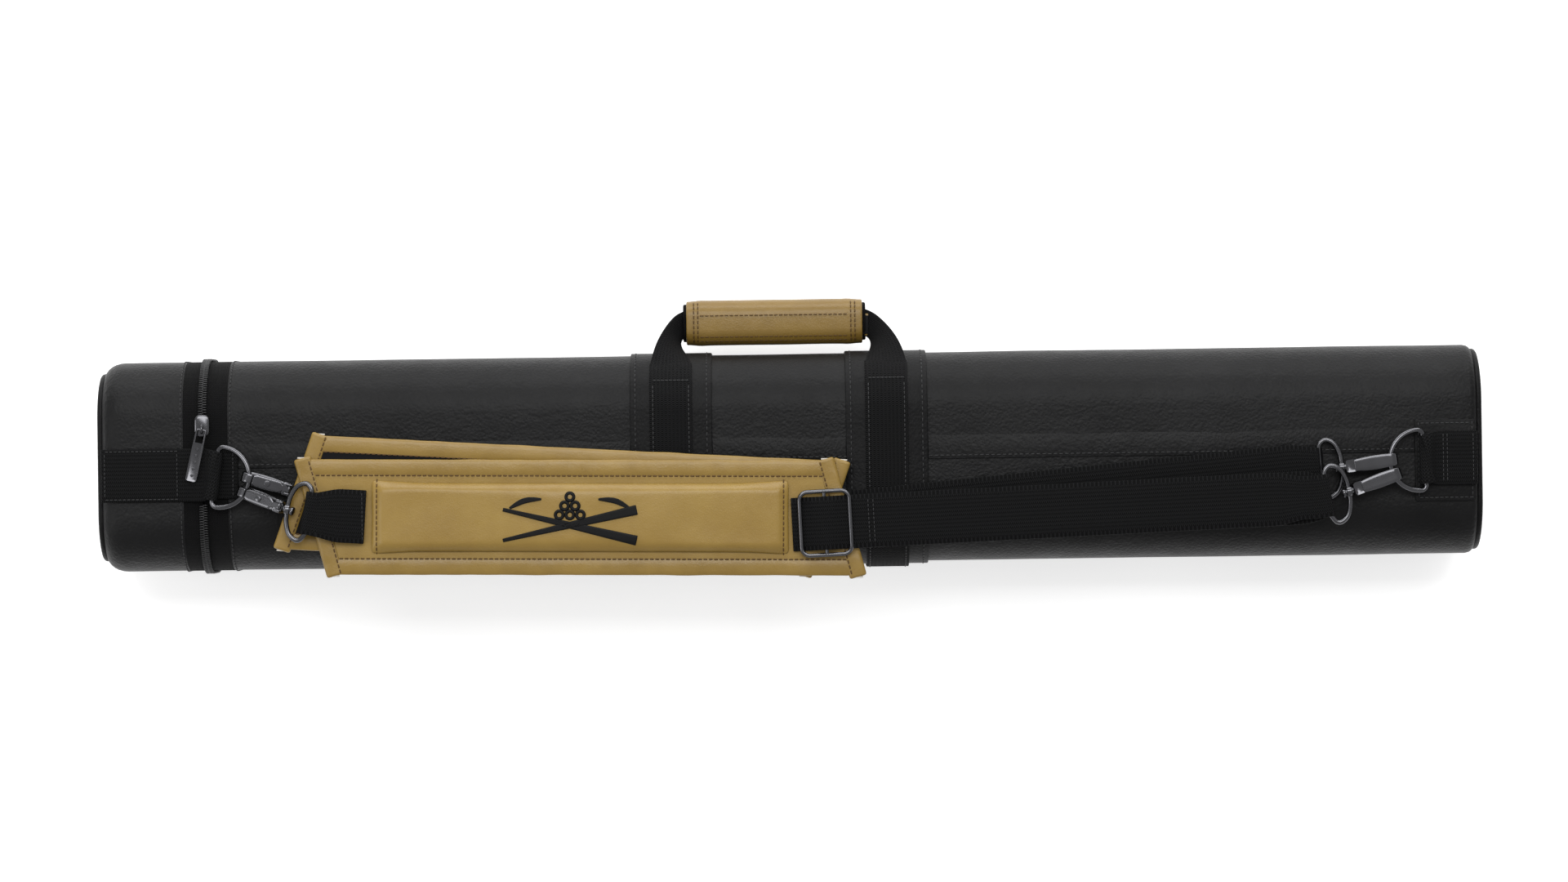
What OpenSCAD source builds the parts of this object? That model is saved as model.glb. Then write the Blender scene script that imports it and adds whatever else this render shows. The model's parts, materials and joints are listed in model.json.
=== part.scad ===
// Hard cue case for three butts and five shafts, lying on its pocket side, with two clip-on padded
// shoulder straps laid over it. X runs along the case with the zipped lid at -X, the handle is at +Y,
// and Z is up from the surface that the case lies on.

/* [Case] */
// Overall length, end panel to end panel
case_len = 838; // [780:1:1010]
// Width across the case, from the handle side to the far side
case_w = 127; // [124:0.1:153]
// Thickness of the padded body, without the pocket
case_t = 92; // [90:0.1:111]
// Radius of the body's long edges
corner_r = 34; // [32:0.5:36]
// Length of the lid, from its end panel to the zip
lid_len = 67; // [56:1:81]
// Thickness of the leatherette cover
skin_t = 1.5; // [1.2:0.1:1.8]
// Thickness of the foam under the cover
foam_t = 3; // [2.5:0.1:3.6]
// Wall of the moulded half shells
shell_t = 3; // [2.5:0.1:3.6]
// Diameter of the piping cord round both ends
piping_d = 4; // [3:0.1:5]

/* [Cue tubes] */
// Bore of the tubes that hold the cue butts
butt_bore = 33.5; // [27.5:0.1:33.8]
// Bore of the tubes that hold the shafts
shaft_bore = 22; // [18:0.1:22.2]
// Wall of every tube
tube_wall = 0.8; // [0.6:0.1:0.9]
// Free gap between neighbouring tubes
tube_gap = 0.5; // [0.3:0.1:0.6]

/* [Zip] */
// Width of the closed chain
chain_w = 5; // [4:0.1:6]
// Height of the chain above the tape
chain_h = 2; // [1.6:0.1:2.4]
// Width of the lid's half of the zip tape
tape_lid_w = 12; // [12:0.1:14.5]
// Width of the body's half of the zip tape
tape_body_w = 14.5; // [12:0.1:17]

/* [Webbing and hardware] */
// Width of the strap webbing
strap_web_w = 32; // [27:0.1:33]
// Width of the handle webbing
handle_web_w = 25.5; // [21:0.1:31]
// Thickness of one layer of webbing
web_t = 1.6; // [1.3:0.1:1.9]
// Wire diameter of the D-rings
ring_wire = 3.2; // [2.7:0.1:3.8]
// Length of a snap hook, ring wire to swivel barrel
hook_len = 29; // [28:0.5:35]
// Width of a snap hook
hook_w = 7; // [5.8:0.1:7.6]
// Wall thickness of a snap hook and its gate
hook_t = 1.8; // [1.5:0.1:2.1]
// How far a gate swings inward, in degrees
gate_open = 13; // [10:1:13]

/* [Shoulder pads] */
// Length of a pad
pad_len = 323; // [270:1:388]
// Width of a pad, across the strap
pad_w = 69; // [60:0.5:72]
// How far the ends lean from square, in degrees
pad_slant = 16; // [10:1:20]
// Thickness of the bound rim
rim_t = 2.6; // [2.2:0.1:2.8]
// Width of the binding
rim_w = 12; // [10:0.5:14]

/* [Handle] */
// Length of the wrapped grip
grip_len = 107; // [90:1:112]
// Depth of the grip, away from the case
grip_depth = 28; // [23:0.5:33]
// Thickness of the grip
grip_t = 20; // [17:0.5:24]
// Gap between the grip and the case, where the fingers go
hand_gap = 5.5; // [4.6:0.1:6.6]
// Distance between the two handle bands
band_pitch = 129.5; // [125:0.5:155]

/* [Pocket] */
// Length of the accessory pocket on the side that the case lies on
pocket_len = 470; // [390:1:560]
// Width of the pocket
pocket_w = 92; // [80:1:100]
// Thickness of the pocket
pocket_t = 8; // [6.7:0.1:9.6]

/* [Hidden] */
$fn = 64;

leather_black = [0.07, 0.07, 0.075];
leather_gold = [0.66, 0.52, 0.25];
web_black = [0.04, 0.04, 0.045];
gunmetal = [0.3, 0.3, 0.32];
foam_grey = [0.3, 0.3, 0.3];
shell_black = [0.12, 0.12, 0.12];

seam_gap = 0.4;                       // play left between parts that face each other
fit = 0.3;                            // play round a piece that slides or turns
lay = 0.2;                            // air left between soft layers that only rest on each other

// Places along and up the case
end_x = case_len / 2;
zip_x = lid_len - end_x;              // centre of the lid's zip
mid_z = pocket_t + case_t / 2;
top_z = pocket_t + case_t;            // top of the flat part of the cover
panel_t = 5;                          // thickness of an end panel at its rim
body_start = zip_x + seam_gap;
body_stop = end_x - panel_t;
lid_start = -body_stop;
lid_stop = zip_x - tape_lid_w - 1;    // the lid's stiff parts stop short of the soft zip tape

// Half sizes of the bore inside the half shells
wall = skin_t + foam_t + shell_t;
core_hw = case_w / 2 - wall;
core_ht = case_t / 2 - wall;
core_r = corner_r - wall;
butt_r = butt_bore / 2 + tube_wall;
shaft_r = shaft_bore / 2 + tube_wall;

// Tube places: the outer tubes lean on the shells, and the shafts nest under the butts
bend_y = core_hw - core_r;            // centre of the bend inside each long edge
bend_z = core_ht - core_r;
butt_y = core_hw - butt_r - 2.2;
butt_lean = core_r - 0.6 - butt_r;
butt_z = min(core_ht - butt_r - 4.5, bend_z + sqrt(max(0, butt_lean * butt_lean - pow(butt_y - bend_y, 2))));
pair = butt_r + shaft_r + tube_gap;
twin = 2 * shaft_r + tube_gap;
shaft_y = core_hw - shaft_r - 0.8;
shaft_z = butt_z - sqrt(pair * pair - pow(shaft_y - butt_y, 2));
nest_z = shaft_z - sqrt(max(0, twin * twin - shaft_y * shaft_y / 4)) - 1;
butt_places = [[-butt_y, butt_z], [0, butt_z], [butt_y, butt_z]];
shaft_places = [
    [-shaft_y, shaft_z], [-shaft_y / 2, nest_z], [0, butt_z - pair], [shaft_y / 2, nest_z], [shaft_y, shaft_z]
];
tube_start = zip_x + 3;
tube_stop = body_stop - 8;

// D-rings and the webbing that anchors them, a little off the centre line
anchor_y = -5;
ring_inner = strap_web_w + 1;
ring_bend = (ring_inner + ring_wire) / 2;      // radius of the bow's centreline
ring_leg = 3.2;                                // bend between the bar and the bow
ring_rise = asin(3.5155 / (ring_leg + ring_bend));    // tilt of a ring: the hooks prop its bow 3.5 mm up
ring_z = top_z + 2 * web_t + ring_wire / 2 + lay;
ring_left = [zip_x + 7.5, anchor_y - 1];
ring_right = [end_x - 38.5, anchor_y - 1];
ring_turn_left = -8;                           // each ring is pulled towards its hooks
ring_turn_right = 4;
jaw_r = ring_wire / 2 + 1.4;                   // inside radius of a hook's nose

// Snap hooks: height and heading of each, and the share of a ring's half bow where it bears
hook_out = jaw_r + hook_t;
base_len = 6;
pivot_u = hook_len - base_len + 1.4;
pin_r = 0.8;
shank_r = 1.6;
eye_d = 13;
eye_w = strap_web_w + 4;
eye_r = 1.5;
eye_bend = 5;

// The rise of a hook whose barrel rests h above its nose, whatever its length
function rise_by(h) = asin(h / hook_len);

// Where a hook bears on a bow of any size: sideways from the middle, by an angle round the bow
function bow_place(a) = ring_bend * sin(a);

// Side views of the four hooks: [ring, ring turn, heading, place on the bow, rise, side]
HOOK_LF = [ring_left, ring_turn_left, -21, bow_place(-24.83), 15, 1];
HOOK_LR = [ring_left, ring_turn_left, -17, bow_place(5.071), rise_by(-3.5342), 1];
HOOK_RF = [ring_right, ring_turn_right, 19, bow_place(-24.83), 5.8, -1];
HOOK_RR = [ring_right, ring_turn_right, 8, bow_place(5.071), rise_by(-3.5342), -1];

// Stack of the two straps on top of the case
pad_rear_z = top_z + 1.2 + web_t + 3 * lay;    // the rear pad lies on the handle bands
pad_rear_full = 7.4;
pad_front_z = pad_rear_z + pad_rear_full + 0.3;
pad_front_full = 7.3;
tilt_rear = -3.6;
tilt_front = -0.9;
hook_more = hook_len - 29;                     // the pads follow the hooks that pull them
pad_front_mid = [zip_x + 226.5 + hook_more * cos(HOOK_LF[2]), -33.5 + hook_more * sin(HOOK_LF[2])];
pad_rear_mid = [zip_x + 215.5 + hook_more * cos(HOOK_LR[2]), -26 + hook_more * sin(HOOK_LR[2])];
panel_end = 34;                                // rim beyond the raised panel at each end

adj_d = 30;                                    // adjusters, along the strap
adj_r = 1.3;

// Zip slider
slider_len = 13;
slider_w = 10;
slider_t = 3;
slider_y = strap_web_w / 2 + anchor_y + 7 + slider_len / 2;
pull_len = 32;
pull_w = 7;
pull_t = 1.2;

// Handle
handle_x = -6;
grip_y = case_w / 2 + hand_gap + grip_depth / 2;
leg_r = corner_r + 1.2 + web_t / 2 + 4 * lay;     // the legs leave the cover on the round edge
leg_y = case_w / 2 - corner_r + leg_r * cos(38);
leg_z = case_t / 2 - corner_r + leg_r * sin(38);

function at(p, a, d) = [p[0] + d * cos(a), p[1] + d * sin(a)];

// Where a hook bears on its ring: the wire's centre, in the case's own frame
function bow(h) =
    let (
        side = h[5],
        u = ring_leg + sqrt(ring_bend * ring_bend - h[3] * h[3]),
        flat = [side * u * cos(ring_rise), h[3]],
        c = cos(h[1]),
        s = sin(h[1])
    )
    [h[0][0] + flat[0] * c - flat[1] * s, h[0][1] + flat[0] * s + flat[1] * c, ring_z + u * sin(ring_rise)];

// The middle of a hook's swivel barrel
function barrel(h) =
    let (p = bow(h), flat = hook_len * cos(h[4]))
    [p[0] + h[5] * flat * cos(h[2]), p[1] + h[5] * flat * sin(h[2]), p[2] + hook_len * sin(h[4])];

// Heading and rise of the eye behind a hook: the loose swivel lets it lag the hook by half
function eye_turn(h) = h[2] / 2;
function eye_rise(h) = h[4] / 2;

// The middle of the bar that the webbing wraps
function eye_bar(h) =
    let (b = barrel(h), a = eye_turn(h), flat = eye_d * cos(eye_rise(h)))
    [b[0] + h[5] * flat * cos(a), b[1] + h[5] * flat * sin(a), b[2] + eye_d * sin(eye_rise(h))];

// ---------- shared shapes ----------

// The body's cross-section, Y across and Z up, grown by g
module outline(g = 0) {
    w = case_w + 2 * g;
    t = case_t + 2 * g;
    r = corner_r + g;
    square([w - 2 * r, t], center = true);
    square([w, t - 2 * r], center = true);
    for (y = [-1, 1], z = [-1, 1])
        translate([y * (w / 2 - r), z * (t / 2 - r)]) circle(r);
}

// A 2D Y-Z shape drawn out along X from x0 to x1
module run(x0, x1) {
    translate([x0, 0, mid_z]) rotate([90, 0, 90]) linear_extrude(x1 - x0) children();
}

module sleeve(x0, x1, outer, inner) {
    run(x0, x1) difference() {
        outline(outer);
        outline(inner);
    }
}

module rod(r, from, len, axis = "x") {
    turn = axis == "x" ? [0, 90, 0] : axis == "y" ? [-90, 0, 0] : [0, 0, 0];
    translate(from) rotate(turn) cylinder(r = r, h = len);
}

// A closed loop of round wire in the X-Y plane: a rectangle w along Y and d along X with round corners
module wire_loop(d, w, bend, r) {
    for (s = [-1, 1]) {
        rod(r, [s * d / 2, bend - w / 2, 0], w - 2 * bend, "y");
        rod(r, [bend - d / 2, s * w / 2, 0], d - 2 * bend, "x");
    }
    for (q = [0 : 3])
        rotate([0, 0, 90 * q])
            translate(q % 2 == 0 ? [d / 2 - bend, w / 2 - bend, 0] : [w / 2 - bend, d / 2 - bend, 0])
                rotate_extrude(angle = 90) translate([bend, 0]) circle(r, $fn = 32);
}

// Piping: a cord round the outline, its centre on the cover's edge
module piping(x, inset) {
    r = corner_r - inset;
    hw = case_w / 2 - inset;
    ht = case_t / 2 - inset;
    translate([x, 0, mid_z]) rotate([90, 0, 90]) {
        for (s = [-1, 1]) {
            rod(piping_d / 2, [r - hw, s * ht, 0], 2 * (hw - r), "x");
            rod(piping_d / 2, [s * hw, r - ht, 0], 2 * (ht - r), "y");
        }
        for (q = [0 : 3])
            rotate([0, 0, 90 * q])
                translate(q % 2 == 0 ? [hw - r, ht - r, 0] : [ht - r, hw - r, 0])
                    rotate_extrude(angle = 90) translate([r, 0]) circle(piping_d / 2, $fn = 32);
    }
}

// An end panel that sits inside its piping; side is 1 at the closed end and -1 on the lid
module closing_panel(side) {
    mirror([side < 0 ? 1 : 0, 0, 0]) {
        run(body_stop, end_x - 1) outline(-piping_d - 0.1);
        run(end_x - 1.01, end_x) outline(-piping_d - 2);
    }
}

module chain(x0, x1) {
    sleeve(x0, x1, chain_h, 0);
}

// ---------- body ----------

module cover_main() {
    color(leather_black) sleeve(body_start + tape_body_w, body_stop, 0, -skin_t);
}

module padding_main() {
    color(foam_grey) sleeve(body_start + 1.5, body_stop, -skin_t, -skin_t - foam_t);
}

module shell_half(up) {
    z = up ? 0 : -case_t;
    run(tube_start, body_stop) intersection() {
        difference() {
            outline(-skin_t - foam_t);
            outline(-wall);
        }
        translate([-case_w, z + (up ? 0.1 : -0.1)]) square([2 * case_w, case_t]);
    }
}

module shell_upper() {
    color(shell_black) shell_half(true);
}

module shell_lower() {
    color(shell_black) shell_half(false);
}

module core_block() {
    color(foam_grey) run(tube_start, tube_stop) difference() {
        outline(-wall - lay);
        for (p = butt_places) translate(p) circle(butt_r);
        for (p = shaft_places) translate(p) circle(shaft_r);
    }
}

module tube(p, bore) {
    run(tube_start - 1, tube_stop) translate(p) difference() {
        circle(bore / 2 + tube_wall);
        circle(bore / 2);
    }
}

module butt_tubes() {
    color(shell_black) for (p = butt_places) tube(p, butt_bore);
}

module shaft_tubes() {
    color(shell_black) for (p = shaft_places) tube(p, shaft_bore);
}

module end_pad() {
    color(foam_grey) run(tube_stop, body_stop - 3) outline(-wall - lay);
}

module end_board() {
    color(shell_black) run(body_stop - 3, body_stop) outline(-wall - lay);
}

module end_panel() {
    color(leather_black) closing_panel(1);
}

module end_piping() {
    color(leather_black) piping(body_stop + piping_d / 2, piping_d / 2);
}

module zip_tape_body() {
    color(web_black) sleeve(body_start, body_start + tape_body_w, 0, -skin_t);
}

module zip_coil_body() {
    color(web_black) difference() {
        chain(zip_x + fit / 2, zip_x + chain_w / 2);
        hinge_window();
    }
}

// The part of the zip line that the hinge webbing covers, up to the parked slider
module hinge_window() {
    reach = slider_y + slider_len / 2;
    translate([zip_x - 20, anchor_y - strap_web_w / 2 - 2, mid_z])
        cube([40, reach - anchor_y + strap_web_w / 2 + 2, case_t]);
}

// ---------- handle strips and bands ----------

module strip_at(x) {
    sleeve(x - 24.5, x + 24.5, 1.2, lay / 2);
}

module handle_strips() {
    color(leather_black) for (s = [-1, 1]) strip_at(handle_x + s * band_pitch / 2);
}

module girth_bands() {
    color(web_black) for (s = [-1, 1])
        difference() {
            x = handle_x + s * band_pitch / 2;
            sleeve(x - handle_web_w / 2, x + handle_web_w / 2, 1.2 + lay + web_t, 1.2 + lay / 2);
            // The webbing lifts off the cover on the handle side
            translate([x - 20, leg_y - 1, 0]) cube([40, case_w, 2 * top_z]);
        }
}

// ---------- D-rings and their anchors ----------

module d_ring() {
    r = ring_wire / 2;
    rod(r, [0, ring_leg - ring_bend, 0], 2 * (ring_bend - ring_leg), "y");
    for (s = [-1, 1])
        mirror([0, s < 0 ? 1 : 0, 0]) translate([ring_leg, ring_bend - ring_leg, 0]) rotate([0, 0, 90])
            rotate_extrude(angle = 90) translate([ring_leg, 0]) circle(r, $fn = 32);
    translate([ring_leg, 0, 0]) rotate([0, 0, -90])
        rotate_extrude(angle = 180) translate([ring_bend, 0]) circle(r, $fn = 32);
}

module place_ring(p, turn, side) {
    translate([p[0], p[1], ring_z]) rotate([0, 0, turn]) mirror([side < 0 ? 1 : 0, 0, 0])
        rotate([0, -ring_rise, 0]) children();
}

module d_ring_left() {
    color(gunmetal) place_ring(ring_left, ring_turn_left, 1) d_ring();
}

module d_ring_right() {
    color(gunmetal) place_ring(ring_right, ring_turn_right, -1) d_ring();
}

// Webbing folded round a bar that lies along Y: a C of one layer with its tail going away from the ring
module fold(r, w, tail, side) {
    gap = r + 0.25;
    mirror([side < 0 ? 1 : 0, 0, 0]) translate([0, w / 2, 0]) rotate([90, 0, 0]) linear_extrude(w) {
        difference() {
            circle(gap + web_t);
            circle(gap);
            translate([-20, -10]) square([20, 20]);
        }
        for (s = [-1, 1]) translate([-tail, s > 0 ? gap : -gap - web_t]) square([tail + 0.01, web_t]);
    }
}

module anchor_patch() {
    color(leather_black) translate([ring_right[0] - 5, anchor_y - 26, top_z + lay / 2])
        cube([body_stop - ring_right[0] + 3, min(52, 2 * (case_w / 2 - corner_r + anchor_y)), 1]);
}

module anchor_web_right() {
    x = ring_right[0];
    color(web_black) {
        translate([x, anchor_y, ring_z]) rotate([0, 0, ring_turn_right])
            fold(ring_wire / 2, strap_web_w - 4, 10, -1);
        translate([x + 7.9, anchor_y - strap_web_w / 2, top_z + 1.2 + lay])
            cube([body_stop - x - 9, strap_web_w, 2 * web_t]);
    }
}

module anchor_web_left() {
    x0 = ring_left[0] + 4;
    color(web_black) translate([x0, anchor_y - strap_web_w / 2, top_z + lay / 2])
        cube([10, strap_web_w, web_t]);
}

module hinge_web() {
    x0 = lid_stop;
    color(web_black) {
        translate([x0, anchor_y - strap_web_w / 2, top_z + lay])
            cube([ring_left[0] + 3.9 - x0, strap_web_w, web_t - lay / 2]);
        translate([ring_left[0], anchor_y, ring_z]) rotate([0, 0, ring_turn_left])
            fold(ring_wire / 2, strap_web_w - 4, 5, 1);
    }
}

// ---------- pocket ----------

pocket_x = 20;

module pocket_pouch() {
    r = 18;
    color(leather_black) difference() {
        translate([pocket_x, 0, 0]) linear_extrude(pocket_t + 8) {
            square([pocket_len - 2 * r, pocket_w], center = true);
            square([pocket_len, pocket_w - 2 * r], center = true);
            for (x = [-1, 1], y = [-1, 1])
                translate([x * (pocket_len / 2 - r), y * (pocket_w / 2 - r)]) circle(r);
        }
        run(pocket_x - pocket_len, pocket_x + pocket_len) outline(lay / 2);
        for (s = [-1, 1]) {
            x = handle_x + s * band_pitch / 2;
            run(x - 25, x + 25) outline(1.2 + web_t + 3 * lay);
        }
    }
}

// Height under the strips and bands at the pocket's long edge, where the case's belly curves up
pocket_flat = max(0, pocket_w / 2 - (case_w / 2 - corner_r));
pocket_room = pocket_t + corner_r - sqrt(corner_r * corner_r - pocket_flat * pocket_flat) - 1.2 - web_t - 3 * lay - 0.1;
pocket_zip_len = pocket_len - 60;
pocket_zip_w = min(5, pocket_room - 0.4);
pocket_zip_z = min(5.5, pocket_room - pocket_zip_w / 2 - 0.1);
pocket_slider_w = 2 * min(3.6, pocket_zip_z - 0.2);

module pocket_zip() {
    color(web_black) translate([pocket_x - pocket_zip_len / 2, pocket_w / 2 + 0.05, pocket_zip_z - pocket_zip_w / 2])
        cube([pocket_zip_len, 1.4, pocket_zip_w]);
}

module pocket_slider() {
    x = pocket_x - pocket_zip_len / 2 + 6;
    color(gunmetal) translate([x, pocket_w / 2 + 1.5 + fit, pocket_zip_z]) {
        translate([-5, 0, -pocket_slider_w / 2]) cube([10, 1.8, pocket_slider_w]);
        translate([-1.5, 1.7, -1.2]) cube([3, 1.6, 2.4]);
        translate([-14, 3.2, -2.2]) cube([14, 1.1, 4.4]);
    }
}

// ---------- lid ----------

module lid_cover() {
    color(leather_black) sleeve(lid_start, lid_stop + 1, 0, -skin_t);
}

module lid_padding() {
    color(foam_grey) sleeve(lid_start, lid_stop, -skin_t, -skin_t - foam_t);
}

module lid_shell() {
    color(shell_black) {
        sleeve(lid_start, lid_stop, -skin_t - foam_t, -wall);
        run(lid_start, lid_start + 3) outline(-wall + 0.01);
    }
}

module lid_end_panel() {
    color(leather_black) closing_panel(-1);
}

module lid_piping() {
    color(leather_black) piping(lid_start - piping_d / 2, piping_d / 2);
}

module zip_tape_lid() {
    color(web_black) sleeve(lid_stop + 1, zip_x - seam_gap, 0, -skin_t);
}

module zip_coil_lid() {
    color(web_black) difference() {
        chain(zip_x - chain_w / 2, zip_x - fit / 2);
        hinge_window();
    }
}

module lid_band() {
    color(web_black) translate([lid_start + 1, anchor_y - strap_web_w / 2, top_z + lay / 2])
        cube([lid_stop - lid_start - 1, strap_web_w, web_t]);
}

// ---------- zip slider and pull ----------

slider_z = top_z + chain_h + fit;

module zip_slider() {
    color(gunmetal) translate([zip_x, slider_y, slider_z]) {
        linear_extrude(slider_t - 1.2) polygon([
            [-slider_w * 0.34, slider_len / 2], [slider_w * 0.34, slider_len / 2],
            [slider_w / 2, 0], [slider_w * 0.3, -slider_len / 2],
            [-slider_w * 0.3, -slider_len / 2], [-slider_w / 2, 0]
        ]);
        // The bridge that the pull hangs from
        difference() {
            translate([-1.1, -4.5, 1.7]) cube([2.2, 5.2, 3]);
            rod(1.1, [-2, -slider_len / 2 + 4, 3.1], 4, "x");
        }
    }
}

pull_lean = -13;
pull_pivot = [zip_x, slider_y - slider_len / 2 + 4, slider_z + 3.1];

module zip_pull() {
    color(gunmetal) translate(pull_pivot) {
        rod(1, [-3, 0, 0], 6, "x");
        rotate([0, 0, pull_lean]) {
            for (s = [-1, 1]) translate([s * 2.8 - 0.6, -8, -pull_t / 2]) cube([1.2, 8.3, pull_t]);
            translate([-pull_w / 2, -pull_len, -pull_t / 2]) cube([pull_w, pull_len - 7.5, pull_t]);
        }
    }
}

// ---------- handle ----------

module grip_outline(g) {
    w = grip_depth + 2 * g;
    t = grip_t + 2 * g;
    square([w - t, t], center = true);
    for (s = [-1, 1]) translate([s * (w - t) / 2, 0]) circle(t / 2);
}

module grip_core() {
    color(web_black) translate([handle_x - 2 - grip_len / 2 - 2, grip_y, mid_z])
        rotate([90, 0, 90]) linear_extrude(grip_len + 4) grip_outline(-2);
}

module grip_wrap() {
    color(leather_gold) translate([handle_x - 2 - grip_len / 2, grip_y, mid_z])
        rotate([90, 0, 90]) linear_extrude(grip_len) difference() {
            grip_outline(0);
            grip_outline(-2 + 0.05);
        }
}

// One soft leg, from the cover's shoulder to the end of the grip
module leg(side, up) {
    x_band = handle_x + side * band_pitch / 2;
    x_grip = handle_x - 2 + side * (grip_len / 2 + 2.1);
    hull() {
        rod(web_t / 2, [x_band - handle_web_w / 2, leg_y, mid_z + up * leg_z], handle_web_w);
        translate([x_grip + (side < 0 ? -4 : 0), grip_y - grip_depth / 2 + 6, mid_z + up * 2 - 1.5])
            cube([4, grip_depth / 2, 3]);
    }
}

module handle_legs() {
    color(web_black) difference() {
        for (s = [-1, 1], up = [-1, 1]) leg(s, up);
        run(-end_x, end_x) outline(1.2 + web_t + 3 * lay);
        translate([handle_x - 2 - grip_len / 2 - 2.1, grip_y, mid_z])
            rotate([90, 0, 90]) linear_extrude(grip_len + 4.2) grip_outline(0.2);
    }
}

// ---------- shoulder straps ----------

// A pad's outline in its own frame: a parallelogram, leaning by lean degrees, shrunk by g all round
module pad_outline(g, lean, ends = 0) {
    hw = pad_w / 2 - g;
    shift = hw * tan(lean);
    hl = pad_len / 2 - g / cos(lean) - ends;
    polygon([[-hl + shift, -hw], [hl + shift, -hw], [hl - shift, hw], [-hl - shift, hw]]);
}

module place_pad(mid, tilt, z) {
    translate([mid[0], mid[1], z]) rotate([0, 0, tilt]) children();
}

module pad(lean, full) {
    linear_extrude(rim_t) pad_outline(rim_w * 0.8, lean);
    linear_extrude(full) square([pad_len - 2 * panel_end, pad_w - 2 * rim_w], center = true);
}

module binding(lean) {
    linear_extrude(rim_t) difference() {
        pad_outline(0, lean);
        pad_outline(rim_w * 0.8 - 0.02, lean);
    }
}

module pad_front() {
    color(leather_gold) place_pad(pad_front_mid, tilt_front, pad_front_z) pad(pad_slant, pad_front_full);
}

module pad_binding_front() {
    color(leather_gold) place_pad(pad_front_mid, tilt_front, pad_front_z) binding(pad_slant);
}

module pad_rear() {
    color(leather_black) place_pad(pad_rear_mid, tilt_rear, pad_rear_z + pad_rear_full)
        mirror([0, 0, 1]) pad(-pad_slant, pad_rear_full);
}

module pad_binding_rear() {
    color(leather_gold) place_pad(pad_rear_mid, tilt_rear, pad_rear_z + pad_rear_full)
        mirror([0, 0, 1]) binding(-pad_slant);
}

// The end of a pad's raised panel on its centre line, in the case's frame
function panel_edge(mid, tilt, side) = at(mid, tilt, side * (pad_len / 2 - panel_end));

// Two layers of webbing from point a to point b at their own heights, w wide
module web_run(a, b, layers, w = strap_web_w) {
    d = [b[0] - a[0], b[1] - a[1], b[2] - a[2]];
    flat = norm([d[0], d[1]]);
    translate(a) rotate([0, 0, atan2(d[1], d[0])]) rotate([0, -atan2(d[2], flat), 0])
        translate([0, -w / 2, -layers * web_t / 2]) cube([norm(d), w, layers * web_t]);
}

// Webbing folded round an eye's bar, with its two tails going away from the hook
module eye_fold(h, tail) {
    translate(eye_bar(h)) rotate([0, 0, eye_turn(h)]) fold(eye_r, eye_w - 2 * eye_bend, tail, -h[5]);
}

module tab_web(h, mid, tilt, z) {
    bar = eye_bar(h);
    edge = panel_edge(mid, tilt, -1);
    reach = 6;
    start = [bar[0] + reach, bar[1] + reach * tan(eye_turn(h)) / 2, bar[2]];
    eye_fold(h, reach + 1.5);
    web_run(start, [edge[0] - 2, edge[1], z], 2);
}

// Height of webbing stitched to the face of each pad, by the number of layers
function front_web_z(layers) = pad_front_z + rim_t + lay + layers * web_t / 2;
function rear_web_z(layers) = pad_rear_z + pad_rear_full - rim_t - lay - layers * web_t / 2;

module tab_web_front() {
    color(web_black) tab_web(HOOK_LF, pad_front_mid, tilt_front, front_web_z(2));
}

module tab_web_rear() {
    color(web_black) tab_web(HOOK_LR, pad_rear_mid, tilt_rear, rear_web_z(2));
}

// The adjuster sits just past the panel's far end; the doubled webbing runs on from it to the right eye
function adjuster_mid(mid, tilt, z) =
    let (p = at(panel_edge(mid, tilt, 1), tilt, adj_d / 2 + 4))
    [p[0], p[1] - 3, z];

// One layer passes the adjuster, and the two layers behind it are face on (1) or face down (-1)
module long_web(h, mid, tilt, z, face) {
    m = adjuster_mid(mid, tilt, z);
    bar = eye_bar(h);
    a = atan2(bar[1] - m[1], bar[0] - m[0]);
    span = norm([bar[0] - m[0], bar[1] - m[1]]);
    back = at(m, a, -adj_d / 2 - 1);
    p = at(m, a, adj_d / 2 + 5);
    q = at(m, a, span - 6);
    eye_fold(h, 7.5);
    web_run([back[0], back[1], z], [p[0], p[1], z], 1);
    web_run([p[0] - 1, p[1], z + face * web_t / 2], [q[0], q[1], bar[2]], 2);
}

module long_web_front() {
    color(web_black) long_web(HOOK_RF, pad_front_mid, tilt_front, front_web_z(1), 1);
}

module long_web_rear() {
    color(web_black) long_web(HOOK_RR, pad_rear_mid, tilt_rear, rear_web_z(1), -1);
}

// A wire frame with a centre bar, and the bit of webbing that passes over the bar
module adjuster(h, mid, tilt, z, face) {
    m = adjuster_mid(mid, tilt, z);
    bar = eye_bar(h);
    a = atan2(bar[1] - m[1], bar[0] - m[0]);
    translate([m[0], m[1], z + face * (web_t / 2 + fit + adj_r)]) rotate([0, 0, a]) {
        wire_loop(adj_d, strap_web_w + 6, 5, adj_r);
        rod(adj_r * 0.9, [0, -strap_web_w / 2 - 3.5, 0], strap_web_w + 7, "y");
    }
}

module adjuster_front() {
    color(gunmetal) adjuster(HOOK_RF, pad_front_mid, tilt_front, front_web_z(1), 1);
}

module adjuster_rear() {
    color(gunmetal) adjuster(HOOK_RR, pad_rear_mid, tilt_rear, rear_web_z(1), -1);
}

// ---------- snap hooks ----------

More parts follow.
